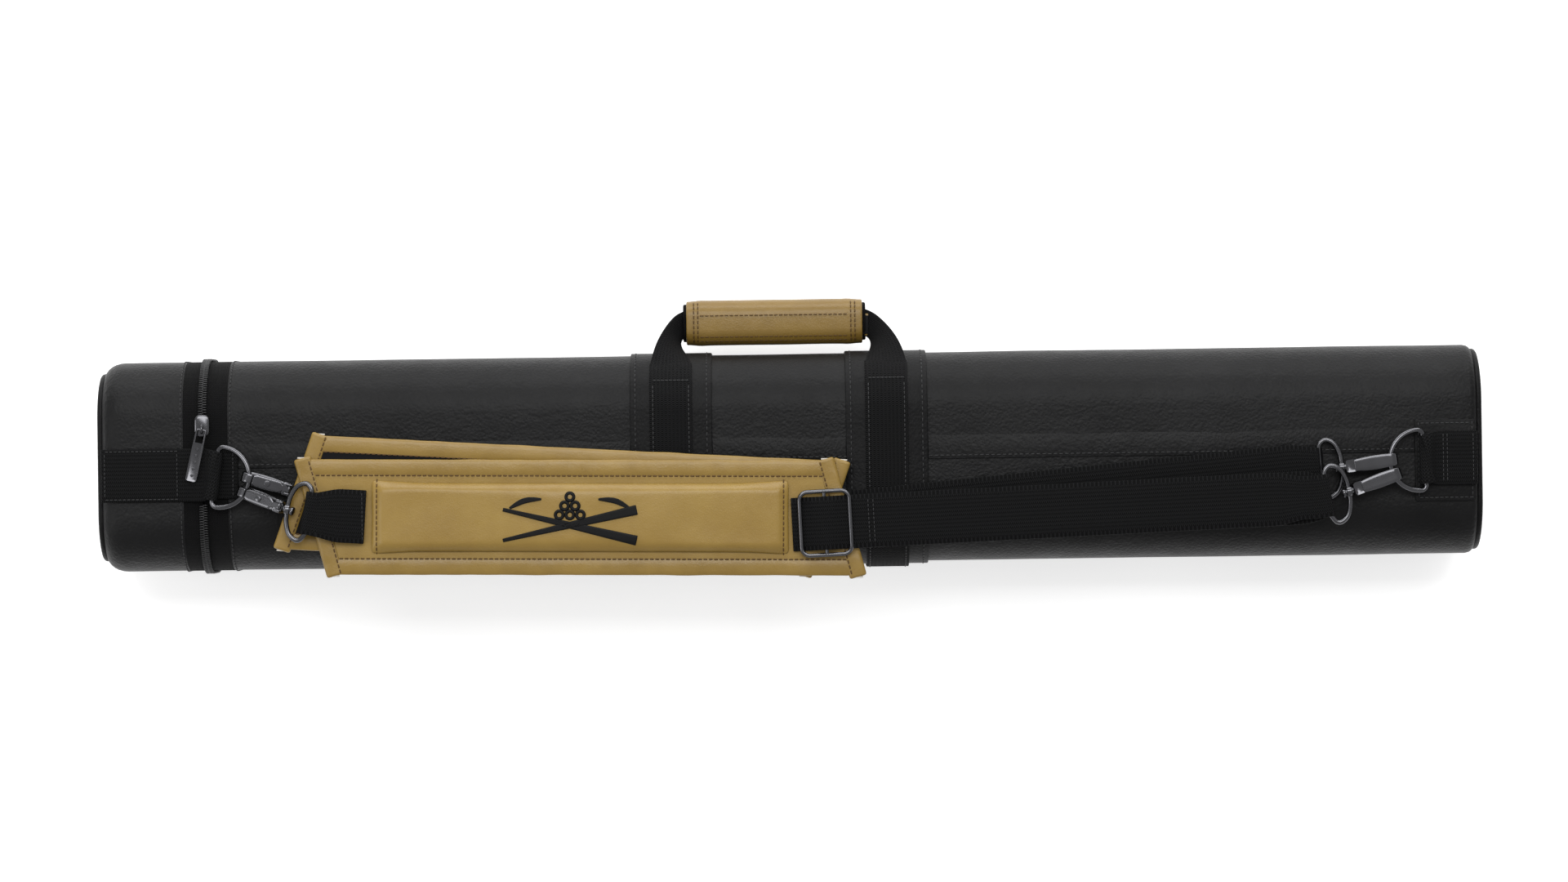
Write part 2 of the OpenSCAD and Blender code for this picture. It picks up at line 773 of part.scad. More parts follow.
// A hook in its own frame: the ring wire runs along Y through the origin, the shank points along +X,
// and the gate is on the +Z side
module hook_body() {
    rotate([90, 0, 0]) translate([0, 0, -hook_w / 2]) linear_extrude(hook_w) {
        difference() {
            circle(hook_out);
            circle(jaw_r);
            translate([0, -20]) square([40, 40]);
        }
        translate([-0.01, jaw_r]) square([1.4, hook_t]);
        translate([-0.01, -hook_out]) square([hook_len - base_len - 1, hook_t]);
    }
    difference() {
        translate([hook_len - base_len - 1.4, -hook_w / 2, -hook_out]) cube([base_len - 1.2, hook_w, 2 * hook_out]);
        translate([hook_len - base_len - 2, -1.8, -jaw_r]) cube([4.9, 3.6, 20]);
    }
    rod(pin_r, [pivot_u, -hook_w / 2, hook_out - 1.6], hook_w, "y");
    rod(shank_r, [hook_len - 3, 0, 0], 5.6, "x");
    rod(2.7, [hook_len + 2.4, 0, 0], 1.8, "x");
}

module gate() {
    pz = hook_out - 1.6;
    difference() {
        union() {
            translate([2, -hook_w / 2, jaw_r]) cube([hook_len - base_len - 3.9, hook_w, hook_t]);
            translate([hook_len - base_len - 2.5, -1.5, jaw_r]) cube([pivot_u - hook_len + base_len + 2.5, 3, hook_t]);
            rod(1.5, [pivot_u, -1.5, pz], 3, "y");
        }
        rod(pin_r + 0.05, [pivot_u, -4, pz], 8, "y");
    }
}

// An eye in its own frame: the barrel is at the origin and the webbing bar is at X = eye_d
module eye() {
    difference() {
        union() {
            translate([eye_d / 2, 0, 0]) wire_loop(eye_d, eye_w, eye_bend, eye_r);
            rod(3.1, [-1.6, 0, 0], 3.2, "x");
        }
        rod(2.3, [-3, 0, 0], 4.3, "x");
        rod(2.3, [0, 0, 0], 4.3, "x");
    }
}

module place_hook(h, flip) {
    translate(bow(h)) rotate([0, 0, h[2]]) mirror([h[5] < 0 ? 1 : 0, 0, 0]) rotate([0, -h[4], 0])
        mirror([0, 0, flip ? 1 : 0]) children();
}

module place_eye(h) {
    translate(barrel(h)) rotate([0, 0, eye_turn(h)]) mirror([h[5] < 0 ? 1 : 0, 0, 0])
        rotate([0, -eye_rise(h), 0]) children();
}

module hook_left_front() { color(gunmetal) place_hook(HOOK_LF, false) hook_body(); }
module gate_left_front() { color(gunmetal) place_hook(HOOK_LF, false) gate(); }
module eye_left_front() { color(gunmetal) place_eye(HOOK_LF) eye(); }
module hook_left_rear() { color(gunmetal) place_hook(HOOK_LR, false) hook_body(); }
module gate_left_rear() { color(gunmetal) place_hook(HOOK_LR, false) gate(); }
module eye_left_rear() { color(gunmetal) place_eye(HOOK_LR) eye(); }
module hook_right_front() { color(gunmetal) place_hook(HOOK_RF, true) hook_body(); }
module gate_right_front() { color(gunmetal) place_hook(HOOK_RF, true) gate(); }
module eye_right_front() { color(gunmetal) place_eye(HOOK_RF) eye(); }
module hook_right_rear() { color(gunmetal) place_hook(HOOK_RR, true) hook_body(); }
module gate_right_rear() { color(gunmetal) place_hook(HOOK_RR, true) gate(); }
module eye_right_rear() { color(gunmetal) place_eye(HOOK_RR) eye(); }

// ---------- nodes ----------

cover_main();
padding_main();
shell_upper();
shell_lower();
core_block();
butt_tubes();
shaft_tubes();
end_pad();
end_board();
end_panel();
end_piping();
zip_tape_body();
zip_coil_body();
handle_strips();
girth_bands();
anchor_patch();
anchor_web_right();
anchor_web_left();
hinge_web();
d_ring_left();
d_ring_right();
pocket_pouch();
pocket_zip();
pocket_slider();
lid_cover();
lid_padding();
lid_shell();
lid_end_panel();
lid_piping();
zip_tape_lid();
zip_coil_lid();
lid_band();
zip_slider();
zip_pull();
grip_core();
grip_wrap();
handle_legs();
pad_front();
pad_binding_front();
pad_rear();
pad_binding_rear();
tab_web_front();
tab_web_rear();
long_web_front();
long_web_rear();
adjuster_front();
adjuster_rear();
hook_left_front();
gate_left_front();
eye_left_front();
hook_left_rear();
gate_left_rear();
eye_left_rear();
hook_right_front();
gate_right_front();
eye_right_front();
hook_right_rear();
gate_right_rear();
eye_right_rear();
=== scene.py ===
# %% [markdown]
# # A hard cue case with its shoulder straps
# The case lies on its pocket side, and its two padded straps lie on top of it. This notebook puts the looks on the
# case: leatherette, gold leather, webbing, stitches, zip and dark polished hardware. The sizes and the places come
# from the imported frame, so nothing has to be fitted by eye.

import json
import math

import bmesh
import bpy
from mathutils import Matrix, Vector, noise

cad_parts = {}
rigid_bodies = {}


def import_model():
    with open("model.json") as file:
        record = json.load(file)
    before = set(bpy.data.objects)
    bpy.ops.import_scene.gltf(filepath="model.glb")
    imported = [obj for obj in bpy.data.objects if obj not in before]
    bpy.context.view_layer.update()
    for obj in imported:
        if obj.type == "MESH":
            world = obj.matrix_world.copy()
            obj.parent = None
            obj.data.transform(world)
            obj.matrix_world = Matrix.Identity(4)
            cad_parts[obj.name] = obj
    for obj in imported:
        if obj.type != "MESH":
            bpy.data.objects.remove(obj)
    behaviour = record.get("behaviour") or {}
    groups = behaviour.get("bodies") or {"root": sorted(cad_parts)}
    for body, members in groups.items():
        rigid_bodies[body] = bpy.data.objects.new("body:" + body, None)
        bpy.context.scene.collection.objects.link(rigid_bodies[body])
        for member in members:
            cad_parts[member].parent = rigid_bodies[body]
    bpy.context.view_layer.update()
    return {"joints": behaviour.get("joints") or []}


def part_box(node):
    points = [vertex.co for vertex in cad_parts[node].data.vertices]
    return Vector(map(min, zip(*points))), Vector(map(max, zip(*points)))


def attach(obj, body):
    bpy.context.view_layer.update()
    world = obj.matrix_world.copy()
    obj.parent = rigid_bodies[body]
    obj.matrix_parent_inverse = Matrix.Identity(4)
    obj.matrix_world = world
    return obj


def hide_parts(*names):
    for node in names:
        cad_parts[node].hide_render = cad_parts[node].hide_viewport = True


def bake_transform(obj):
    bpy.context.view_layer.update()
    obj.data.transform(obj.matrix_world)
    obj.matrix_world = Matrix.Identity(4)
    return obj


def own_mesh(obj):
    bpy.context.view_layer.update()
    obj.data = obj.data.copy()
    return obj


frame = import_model()
MM = 0.001

# %% [markdown]
# ## Camera and light
# The camera comes first, because every other choice is judged through it. It hangs three metres above the case with a
# long lens, and is turned by less than a degree. Big soft panels give black leather its shape: the reflection
# of a panel is what the eye reads as a rounded edge.

# %% Camera
CAMERA_HEIGHT = 3.054
camera_data = bpy.data.cameras.new("camera")
camera_data.lens = 112.97
camera_data.sensor_width = 36
camera_data.clip_end = 20
camera = bpy.data.objects.new("camera", camera_data)
bpy.context.scene.collection.objects.link(camera)
camera.location = (-3.09 * MM, 10.5 * MM, CAMERA_HEIGHT)
camera.rotation_euler = (0, 0, math.radians(-0.8))
bpy.context.scene.camera = camera
print("camera at", tuple(round(v, 3) for v in camera.location))

# %% Soft lights and a pale floor
def soft_panel(name, place, aim, width, depth, power):
    """An area light that faces a point."""
    data = bpy.data.lights.new(name, "AREA")
    data.shape = "RECTANGLE"
    data.size, data.size_y = width, depth
    data.energy = power
    light = bpy.data.objects.new(name, data)
    bpy.context.scene.collection.objects.link(light)
    light.location = place
    light.rotation_euler = (Vector(aim) - Vector(place)).to_track_quat("-Z", "Y").to_euler()
    return light


soft_panel("panel_above", (0.0, 0.9, 2.2), (0, 0, 0.05), 2.4, 0.9, 34)
soft_panel("panel_behind", (0.0, 1.5, 0.55), (0, 0, 0.07), 2.8, 0.5, 22)
soft_panel("panel_left", (-1.6, -0.2, 1.3), (0, 0, 0.05), 0.8, 0.8, 6)

world = bpy.data.worlds.new("pale_room")
bpy.context.scene.world = world
world.use_nodes = True
world.node_tree.nodes["Background"].inputs["Color"].default_value = (1, 1, 1, 1)
world.node_tree.nodes["Background"].inputs["Strength"].default_value = 0.5

bpy.context.scene.view_settings.view_transform = "Standard"

# %% Selecting and editing
def nothing_selected():
    if bpy.context.mode != "OBJECT":
        bpy.ops.object.mode_set(mode="OBJECT")
    bpy.ops.object.select_all(action="DESELECT")


def only(piece):
    nothing_selected()
    piece.select_set(True)
    bpy.context.view_layer.objects.active = piece


def settle(name):
    """Name the new primitive, and move its place into its mesh."""
    piece = bpy.context.active_object
    piece.name = piece.data.name = name
    only(piece)
    bpy.ops.object.transform_apply(location=True, rotation=True, scale=True)
    return piece


def pick(piece, test, kind="FACE"):
    """Go into edit mode with only the faces or edges that pass the test selected."""
    only(piece)
    bpy.ops.object.mode_set(mode="EDIT")
    bpy.ops.mesh.select_mode(type=kind)
    bpy.ops.mesh.select_all(action="DESELECT")
    mesh = bmesh.from_edit_mesh(piece.data)
    mesh.normal_update()
    for item in mesh.faces if kind == "FACE" else mesh.edges:
        item.select_set(bool(test(item)))
    mesh.select_flush_mode()
    bmesh.update_edit_mesh(piece.data)


def leave():
    bpy.ops.object.mode_set(mode="OBJECT")


def runs_along(axis):
    """A test for edges that run along X, Y or Z."""
    def test(edge):
        d = edge.verts[1].co - edge.verts[0].co
        return abs(d[axis]) > 0.98 * d.length
    return test


def block(name, low, high):
    nothing_selected()
    centre = [(a + b) / 2 for a, b in zip(low, high)]
    size = [b - a for a, b in zip(low, high)]
    bpy.ops.mesh.primitive_cube_add(size=1, location=centre, scale=size)
    return settle(name)


def modify(piece, kind, **settings):
    """Add a modifier with these settings, and apply it."""
    only(piece)
    modifier = piece.modifiers.new(kind.lower(), kind)
    for key, value in settings.items():
        setattr(modifier, key, value)
    bpy.ops.object.modifier_apply(modifier=modifier.name)
    return piece


def smooth(piece, angle=40):
    only(piece)
    bpy.ops.object.shade_smooth_by_angle(angle=math.radians(angle))
    return piece


def joined(name, pieces):
    nothing_selected()
    for piece in pieces:
        piece.select_set(True)
    bpy.context.view_layer.objects.active = pieces[0]
    bpy.ops.object.join()
    pieces[0].name = pieces[0].data.name = name
    return pieces[0]


def finish_piece(piece, body, slot, material, *stands_for, angle=40):
    """Give a piece its finish, its body and the CAD nodes that it stands for."""
    smooth(piece, angle)
    piece.data.materials.clear()
    piece.data.materials.append(material)
    if stands_for:
        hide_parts(*stands_for)
    if body:
        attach(piece, body)
    return piece


# %% Sheets and wires
def sheet_of(name, cells_u, cells_v, place, size_u=1.0, size_v=1.0):
    """A grid laid through space: place(u, v) gives each point, and the UV map is in metres."""
    nothing_selected()
    bpy.ops.mesh.primitive_grid_add(x_subdivisions=cells_u, y_subdivisions=cells_v, size=1)
    piece = settle(name)
    for vertex in piece.data.vertices:
        vertex.co = place(vertex.co.x + 0.5, vertex.co.y + 0.5)
    for loop in piece.data.uv_layers[0].data:
        loop.uv = (loop.uv[0] * size_u, loop.uv[1] * size_v)
    return piece


def wire(name, points, radius, closed=True, resolution=5):
    """A round wire through the points."""
    data = bpy.data.curves.new(name, "CURVE")
    data.dimensions = "3D"
    data.bevel_depth = radius
    data.bevel_resolution = resolution
    data.use_fill_caps = not closed
    spline = data.splines.new("POLY")
    spline.points.add(len(points) - 1)
    for point, place in zip(spline.points, points):
        point.co = (*place, 1)
    spline.use_cyclic_u = closed
    curve = bpy.data.objects.new(name, data)
    bpy.context.scene.collection.objects.link(curve)
    only(curve)
    bpy.ops.object.convert(target="MESH")
    return settle(name)


def arc(centre, radius, start, stop, steps):
    """Points of an arc in the X-Y plane, angles in degrees."""
    found = []
    for i in range(steps + 1):
        a = math.radians(start + (stop - start) * i / steps)
        found.append(Vector((centre[0] + radius * math.cos(a), centre[1] + radius * math.sin(a), 0)))
    return found


def bend4(p0, p1, p2, p3, t):
    """A point on a four-point curve."""
    a, b, c, d = (Vector(p) for p in (p0, p1, p2, p3))
    s = 1 - t
    return a * s**3 + b * (3 * s * s * t) + c * (3 * s * t * t) + d * t**3


def through(points, t):
    """A point on a smooth line through all the points."""
    spans = len(points) - 1
    i = min(int(t * spans), spans - 1)
    f = t * spans - i
    p = [Vector(points[max(0, min(spans, i + k))]) for k in (-1, 0, 1, 2)]
    return 0.5 * (2 * p[1] + (p[2] - p[0]) * f + (2 * p[0] - 5 * p[1] + 4 * p[2] - p[3]) * f**2
                  + (3 * p[1] - p[0] - 3 * p[2] + p[3]) * f**3)


def run_length(points):
    return sum((Vector(a) - Vector(b)).length for a, b in zip(points, points[1:]))


# %% [markdown]
# ## Copies by the hundred
# A stitch or a zip tooth is modelled once with few faces. Its copies are then joined into one mesh per row, because
# hundreds of separate objects would make the scene slow and the list of pieces unreadable.

# %% One stitch and rows of stitches
def copies(name, seed, places):
    """One mesh holding a copy of the seed piece at each place."""
    mesh = bmesh.new()
    for place in places:
        part = seed.data.copy()
        part.transform(place)
        mesh.from_mesh(part)
        bpy.data.meshes.remove(part)
    data = bpy.data.meshes.new(name)
    mesh.to_mesh(data)
    mesh.free()
    row = bpy.data.objects.new(name, data)
    bpy.context.scene.collection.objects.link(row)
    return row


def make_stitch(length, radius):
    nothing_selected()
    bpy.ops.mesh.primitive_cylinder_add(vertices=6, radius=radius, depth=length, rotation=(0, math.pi / 2, 0))
    seed = settle("stitch_seed")
    pick(seed, lambda f: len(f.verts) == 6)
    bpy.ops.mesh.inset(thickness=radius * 0.45)
    leave()
    for vertex in seed.data.vertices:
        if abs(vertex.co.x) > length * 0.49 and vertex.co.yz.length > radius * 0.8:
            vertex.co.x *= 0.8
    return seed


def drop(piece):
    bpy.data.objects.remove(piece)


def frame_at(place, along, up):
    """A place whose X axis runs along a direction and whose Z axis points away from the surface."""
    x = Vector(along).normalized()
    z = (Vector(up) - x * Vector(up).dot(x)).normalized()
    y = z.cross(x)
    turn = Matrix((x, y, z)).transposed().to_4x4()
    return Matrix.Translation(place) @ turn


def stitched(name, line, ups, body, material, slot, pitch=3.0 * MM, length=2.2 * MM, radius=0.34 * MM):
    """Stitches along a line of points, with an up direction for each point or one for all."""
    seed = make_stitch(length, radius)
    ups = ups if isinstance(ups, list) else [ups] * len(line)
    places, walked, due = [], 0.0, pitch / 2
    for (a, b), up in zip(zip(line, line[1:]), ups):
        a, b = Vector(a), Vector(b)
        span = (b - a).length
        while due <= walked + span and span > 0:
            places.append(frame_at(a.lerp(b, (due - walked) / span), b - a, up))
            due += pitch
        walked += span
    row = copies(name, seed, places)
    drop(seed)
    return finish_piece(row, body, slot, material, angle=60)


print("helpers ready")

# %% [markdown]
# ## Finishes
# Every finish is procedural. Leather is a voronoi grain under a fine noise, and webbing is woven from two sine waves on
# the piece's own UV map, which is in metres, so that ribs keep their size on every strap.

# %% A finish and its parts
def new_finish(name, colour, roughness, metallic=0.0, sheen=0.5):
    """A shader with one colour; sheen sets how strongly it mirrors the room."""
    material = bpy.data.materials.new(name)
    material.use_nodes = True
    shader = material.node_tree.nodes["Principled BSDF"]
    shader.inputs["Base Color"].default_value = (*colour, 1)
    shader.inputs["Roughness"].default_value = roughness
    shader.inputs["Metallic"].default_value = metallic
    shader.inputs["Specular IOR Level"].default_value = sheen
    return material, material.node_tree.nodes, material.node_tree.links, shader


def add_node(nodes, kind, **inputs):
    node = nodes.new(kind)
    for key, value in inputs.items():
        node.inputs[key.replace("_", " ")].default_value = value
    return node


def two_tones(nodes, links, shader, factor, dark, light):
    """Vary the colour between two tones with a factor."""
    mix = nodes.new("ShaderNodeMix")
    mix.data_type = "RGBA"
    mix.inputs[6].default_value = (*dark, 1)
    mix.inputs[7].default_value = (*light, 1)
    links.new(factor, mix.inputs[0])
    links.new(mix.outputs[2], shader.inputs["Base Color"])


def bumped(nodes, links, shader, height, strength, distance):
    bump = add_node(nodes, "ShaderNodeBump", Strength=strength, Distance=distance)
    links.new(height, bump.inputs["Height"])
    links.new(bump.outputs["Normal"], shader.inputs["Normal"])
    return bump


def leather(name, dark, light, roughness, grain, depth, mottle=18.0, sheen=0.3):
    """Grained leather: pebbles and creases from voronoi, broken up by noise, with slow changes of tone."""
    material, nodes, links, shader = new_finish(name, light, roughness, 0.0, sheen)
    place = nodes.new("ShaderNodeTexCoord").outputs["Object"]
    pebbles = add_node(nodes, "ShaderNodeTexVoronoi", Scale=grain)
    pebbles.feature = "SMOOTH_F1"
    warp = add_node(nodes, "ShaderNodeTexNoise", Scale=grain * 0.12, Detail=5.0, Roughness=0.65)
    fine = add_node(nodes, "ShaderNodeTexNoise", Scale=grain * 2.3, Detail=4.0, Roughness=0.6)
    slow = add_node(nodes, "ShaderNodeTexNoise", Scale=mottle, Detail=6.0, Roughness=0.66)
    for texture in (pebbles, fine, slow, warp):
        links.new(place, texture.inputs["Vector"])
    grainy = nodes.new("ShaderNodeMath")
    grainy.operation = "MULTIPLY_ADD"
    grainy.inputs[1].default_value = 0.6
    links.new(fine.outputs[0], grainy.inputs[0])
    links.new(pebbles.outputs["Distance"], grainy.inputs[2])
    height = nodes.new("ShaderNodeMath")
    height.operation = "MULTIPLY_ADD"
    height.inputs[1].default_value = 2.2
    links.new(warp.outputs[0], height.inputs[0])
    links.new(grainy.outputs[0], height.inputs[2])
    bumped(nodes, links, shader, height.outputs[0], 0.8, depth)
    ramp = nodes.new("ShaderNodeMapRange")
    ramp.inputs["From Min"].default_value = 0.3
    ramp.inputs["From Max"].default_value = 0.7
    links.new(slow.outputs[0], ramp.inputs["Value"])
    two_tones(nodes, links, shader, ramp.outputs["Result"], dark, light)
    gloss = nodes.new("ShaderNodeMapRange")
    gloss.inputs["To Min"].default_value = roughness - 0.08
    gloss.inputs["To Max"].default_value = roughness + 0.1
    links.new(warp.outputs[0], gloss.inputs["Value"])
    links.new(gloss.outputs["Result"], shader.inputs["Roughness"])
    return material


def webbing(name, colour, rib, row, half=0.0, ladder=0.0):
    """Woven strap: ribs along it and picks across it, read from the UV map in metres, with a coarser edge. Its colour
    carries painted shade in the grooves and a painted highlight on the ribs.
    """
    # Painted shade and highlight: dark and light are the weave's two tones. Its relief sets them, darker in the grooves
    # and lighter on the ribs.
    dark = tuple(c * 0.25 for c in colour)
    light = tuple(c * 1.9 for c in colour)
    material, nodes, links, shader = new_finish(name, colour, 0.75, 0.0, 0.12)
    split = nodes.new("ShaderNodeSeparateXYZ")
    links.new(nodes.new("ShaderNodeTexCoord").outputs["UV"], split.inputs[0])

    def math_node(kind, a, b):
        node = nodes.new("ShaderNodeMath")
        node.operation = kind
        for socket, value in zip(node.inputs, (a, b)):
            if hasattr(value, "is_linked"):
                links.new(value, socket)
            elif value is not None:
                socket.default_value = value
        return node.outputs[0]

    def wave(axis, pitch):
        return math_node("SINE", math_node("MULTIPLY", split.outputs[axis], 2 * math.pi / pitch), None)

    along, across = wave(0, row), wave(1, rib)
    weave = math_node("ADD", math_node("MULTIPLY", along, across), math_node("MULTIPLY", along, 0.55))
    if half:
        edge = math_node("GREATER_THAN", math_node("ABSOLUTE", split.outputs[1], None), half - 2.6 * MM)
        rungs = math_node("MULTIPLY", wave(0, ladder), 1.5)
        weave = math_node("ADD", math_node("MULTIPLY", weave, math_node("SUBTRACT", 1.0, edge)), math_node("MULTIPLY", rungs, edge))
    bumped(nodes, links, shader, weave, 0.9, 0.3 * MM)
    tone = nodes.new("ShaderNodeMapRange")
    tone.inputs["From Min"].default_value = -1.3
    tone.inputs["From Max"].default_value = 1.5
    links.new(weave, tone.inputs["Value"])
    two_tones(nodes, links, shader, tone.outputs["Result"], dark, light)
    return material


def plain_finish(name, colour, roughness, metallic=0.0, scale=400.0, depth=0.05 * MM, spread=0.08, sheen=0.3):
    """Metal, plastic, foam or thread: one colour broken by a fine noise in tone, gloss and relief."""
    material, nodes, links, shader = new_finish(name, colour, roughness, metallic, sheen)
    grain = add_node(nodes, "ShaderNodeTexNoise", Scale=scale, Detail=3.0)
    links.new(nodes.new("ShaderNodeTexCoord").outputs["Object"], grain.inputs["Vector"])
    bumped(nodes, links, shader, grain.outputs[0], 0.3, depth)
    gloss = nodes.new("ShaderNodeMapRange")
    gloss.inputs["To Min"].default_value = max(0.02, roughness - spread)
    gloss.inputs["To Max"].default_value = roughness + spread
    links.new(grain.outputs[0], gloss.inputs["Value"])
    links.new(gloss.outputs["Result"], shader.inputs["Roughness"])
    two_tones(nodes, links, shader, grain.outputs[0], tuple(c * 0.75 for c in colour), tuple(min(1, c * 1.25) for c in colour))
    return material


# %% The finishes of this case
BLACK_LEATHER = leather("black_leatherette", (0.0042, 0.0042, 0.0044), (0.0085, 0.0085, 0.0089), 0.42, 620, 0.30 * MM, 14.0, 0.15)
STRIP_LEATHER = leather("black_strip_leather", (0.0028, 0.0028, 0.003), (0.0055, 0.0055, 0.0058), 0.46, 620, 0.24 * MM, 18.0, 0.13)
GOLD_LEATHER = leather("gold_leather", (0.225, 0.137, 0.026), (0.275, 0.176, 0.038), 0.36, 1300, 0.07 * MM, 26.0, 0.42)
GOLD_BINDING = leather("gold_binding_leather", (0.205, 0.125, 0.023), (0.262, 0.166, 0.035), 0.34, 1300, 0.08 * MM, 40.0, 0.45)
GOLD_GRIP = leather("gold_grip_leather", (0.165, 0.098, 0.018), (0.21, 0.13, 0.026), 0.34, 1300, 0.09 * MM, 30.0, 0.42)
LINING = plain_finish("pad_lining", (0.006, 0.006, 0.0065), 0.85, 0.0, 1500, 0.08 * MM, 0.08, 0.15)
WEB = webbing("black_webbing", (0.0042, 0.0042, 0.0045), 2.3 * MM, 1.2 * MM)
STRAP_WEB = webbing("black_strap_webbing", (0.0040, 0.0040, 0.0043), 2.3 * MM, 1.2 * MM, 16 * MM, 2.5 * MM)
TAPE = webbing("zip_tape", (0.0032, 0.0032, 0.0034), 1.0 * MM, 0.9 * MM)
GUNMETAL = plain_finish("black_nickel", (0.105, 0.105, 0.112), 0.2, 1.0, 60, 0.004 * MM, 0.04, 0.5)
BLACK_THREAD = plain_finish("black_thread", (0.016, 0.016, 0.017), 0.55, 0.0, 2500, 0.05 * MM, 0.08, 0.4)
EMBLEM_THREAD = plain_finish("emblem_thread", (0.0035, 0.0035, 0.0037), 0.55, 0.0, 2500, 0.1 * MM, 0.08, 0.15)
BROWN_THREAD = plain_finish("brown_thread", (0.085, 0.045, 0.013), 0.62, 0.0, 2500, 0.05 * MM)
RAW_EDGE = plain_finish("raw_edge", (0.5, 0.47, 0.42), 0.85, 0.0, 1200, 0.1 * MM)
NYLON = plain_finish("nylon_coil", (0.005, 0.005, 0.0055), 0.3, 0.0, 900, 0.02 * MM, 0.08, 0.4)
FOAM = plain_finish("dark_foam", (0.02, 0.02, 0.022), 0.95, 0.0, 1800, 0.25 * MM)
SHELL = plain_finish("moulded_shell", (0.016, 0.016, 0.018), 0.5, 0.0, 260, 0.06 * MM)
TUBE = plain_finish("lined_tube", (0.045, 0.045, 0.05), 0.6, 0.0, 700, 0.06 * MM)
PLUSH = plain_finish("plush_lining", (0.014, 0.014, 0.016), 0.95, 0.0, 2200, 0.3 * MM)
FLOOR = plain_finish("pale_floor", (0.9, 0.9, 0.9), 0.9, 0.0, 3.0, 0.0)
floor_shader = FLOOR.node_tree.nodes["Principled BSDF"]
floor_shader.inputs["Emission Color"].default_value = (1, 1, 1, 1)
floor_shader.inputs["Emission Strength"].default_value = 0.52
print(len(bpy.data.materials), "finishes")

# %% Floor
nothing_selected()
bpy.ops.mesh.primitive_plane_add(size=14, location=(0, 0, 0))
floor = settle("floor")
floor.data.materials.append(FLOOR)

# %% [markdown]
# ## The shape of the case
# The section of the case is a rectangle with round corners. Covers, zip tapes, strips and bands are all sleeves on it,
# so they share one helper: a cube, its four long edges bevelled, its ends opened, cut into rings, and given a wall.

# %% Section of the case
cover_low, cover_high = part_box("cover_main")
lid_low, lid_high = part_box("lid_cover")
HALF_W, TOP, BOTTOM = cover_high.y, cover_high.z, cover_low.z
MID_Z = (TOP + BOTTOM) / 2
CORNER = 34 * MM
FLAT_Y = HALF_W - CORNER
FLAT_Z = (TOP - BOTTOM) / 2 - CORNER
ARC = math.pi * CORNER / 2
GIRTH = 4 * (FLAT_Y + FLAT_Z + ARC)
ZIP_X = next(j["pos_m"][0] for j in frame["joints"] if j["name"] == "lid_hinge")


def outward(y, z):
    """The direction away from the case's core at a point of its section."""
    n = Vector((0, y - max(-FLAT_Y, min(FLAT_Y, y)), (z - MID_Z) - max(-FLAT_Z, min(FLAT_Z, z - MID_Z))))
    return n.normalized() if n.length > 0 else Vector((0, 0, 1))


def girth_point(s, grow=0.0, x=0.0):
    """A point s metres round the section from the middle of the top towards +Y, and its outward direction."""
    s %= GIRTH
    r = CORNER + grow
    turn = 0
    for cy, cz, straight in ((1, 1, FLAT_Y), (1, -1, 2 * FLAT_Z), (-1, -1, 2 * FLAT_Y), (-1, 1, 2 * FLAT_Z), (0, 1, FLAT_Y)):
        angle = math.radians(turn)
        normal = Vector((0, math.sin(angle), math.cos(angle)))
        along = Vector((0, math.cos(angle), -math.sin(angle)))
        centre = Vector((x, cy * FLAT_Y, MID_Z + cz * FLAT_Z))
        if s <= straight:
            return centre + normal * r - along * (straight - s), normal
        s -= straight
        if s <= ARC:
            angle = math.radians(turn + 90 * s / ARC)
            normal = Vector((0, math.sin(angle), math.cos(angle)))
            return centre + normal * r, normal
        s -= ARC
        turn += 90
    return centre + normal * r, normal


def girth_of(y, z):
    """The reverse of girth_point, but counted from the middle of the bottom, so that seams fall there."""
    n = outward(y, z)
    turn = math.degrees(math.atan2(n.y, n.z)) % 360
    side = round(turn / 90) % 4
    if abs((turn + 45) % 90 - 45) < 0.01:
        s = (y, FLAT_Y + ARC + FLAT_Z - (z - MID_Z), 2 * FLAT_Y + 2 * ARC + 2 * FLAT_Z - y,
             3 * FLAT_Y + 3 * ARC + 3 * FLAT_Z + (z - MID_Z))[side]
    else:
        marks = (FLAT_Y, FLAT_Y + ARC + 2 * FLAT_Z, 3 * FLAT_Y + 2 * ARC + 2 * FLAT_Z, 3 * FLAT_Y + 3 * ARC + 4 * FLAT_Z)
        s = marks[int(turn // 90)] + ARC * (turn % 90) / 90
    return (s + GIRTH / 2) % GIRTH


def sleeve(name, x0, x1, grow, wall, cuts, across=5):
    """A sleeve on the case's section from x0 to x1, its outside grown by grow, with a wall turned inwards."""
    piece = block(name, (x0, -HALF_W - grow, BOTTOM - grow), (x1, HALF_W + grow, TOP + grow))
    pick(piece, runs_along(0), "EDGE")
    bpy.ops.mesh.bevel(offset=CORNER + grow, segments=14, affect="EDGES")
    leave()
    pick(piece, lambda f: abs(f.normal.x) > 0.9)
    bpy.ops.mesh.delete(type="FACE")
    leave()
    if cuts:
        pick(piece, runs_along(0), "EDGE")
        bpy.ops.mesh.subdivide(number_cuts=cuts)
        leave()
    if across:
        long_ways = runs_along(1)
        pick(piece, lambda e: long_ways(e) and e.calc_length() > 0.02, "EDGE")
        bpy.ops.mesh.subdivide(number_cuts=across)
        leave()
    wrap_uv(piece)
    if wall:
        modify(piece, "SOLIDIFY", thickness=wall, offset=-1)
    return piece


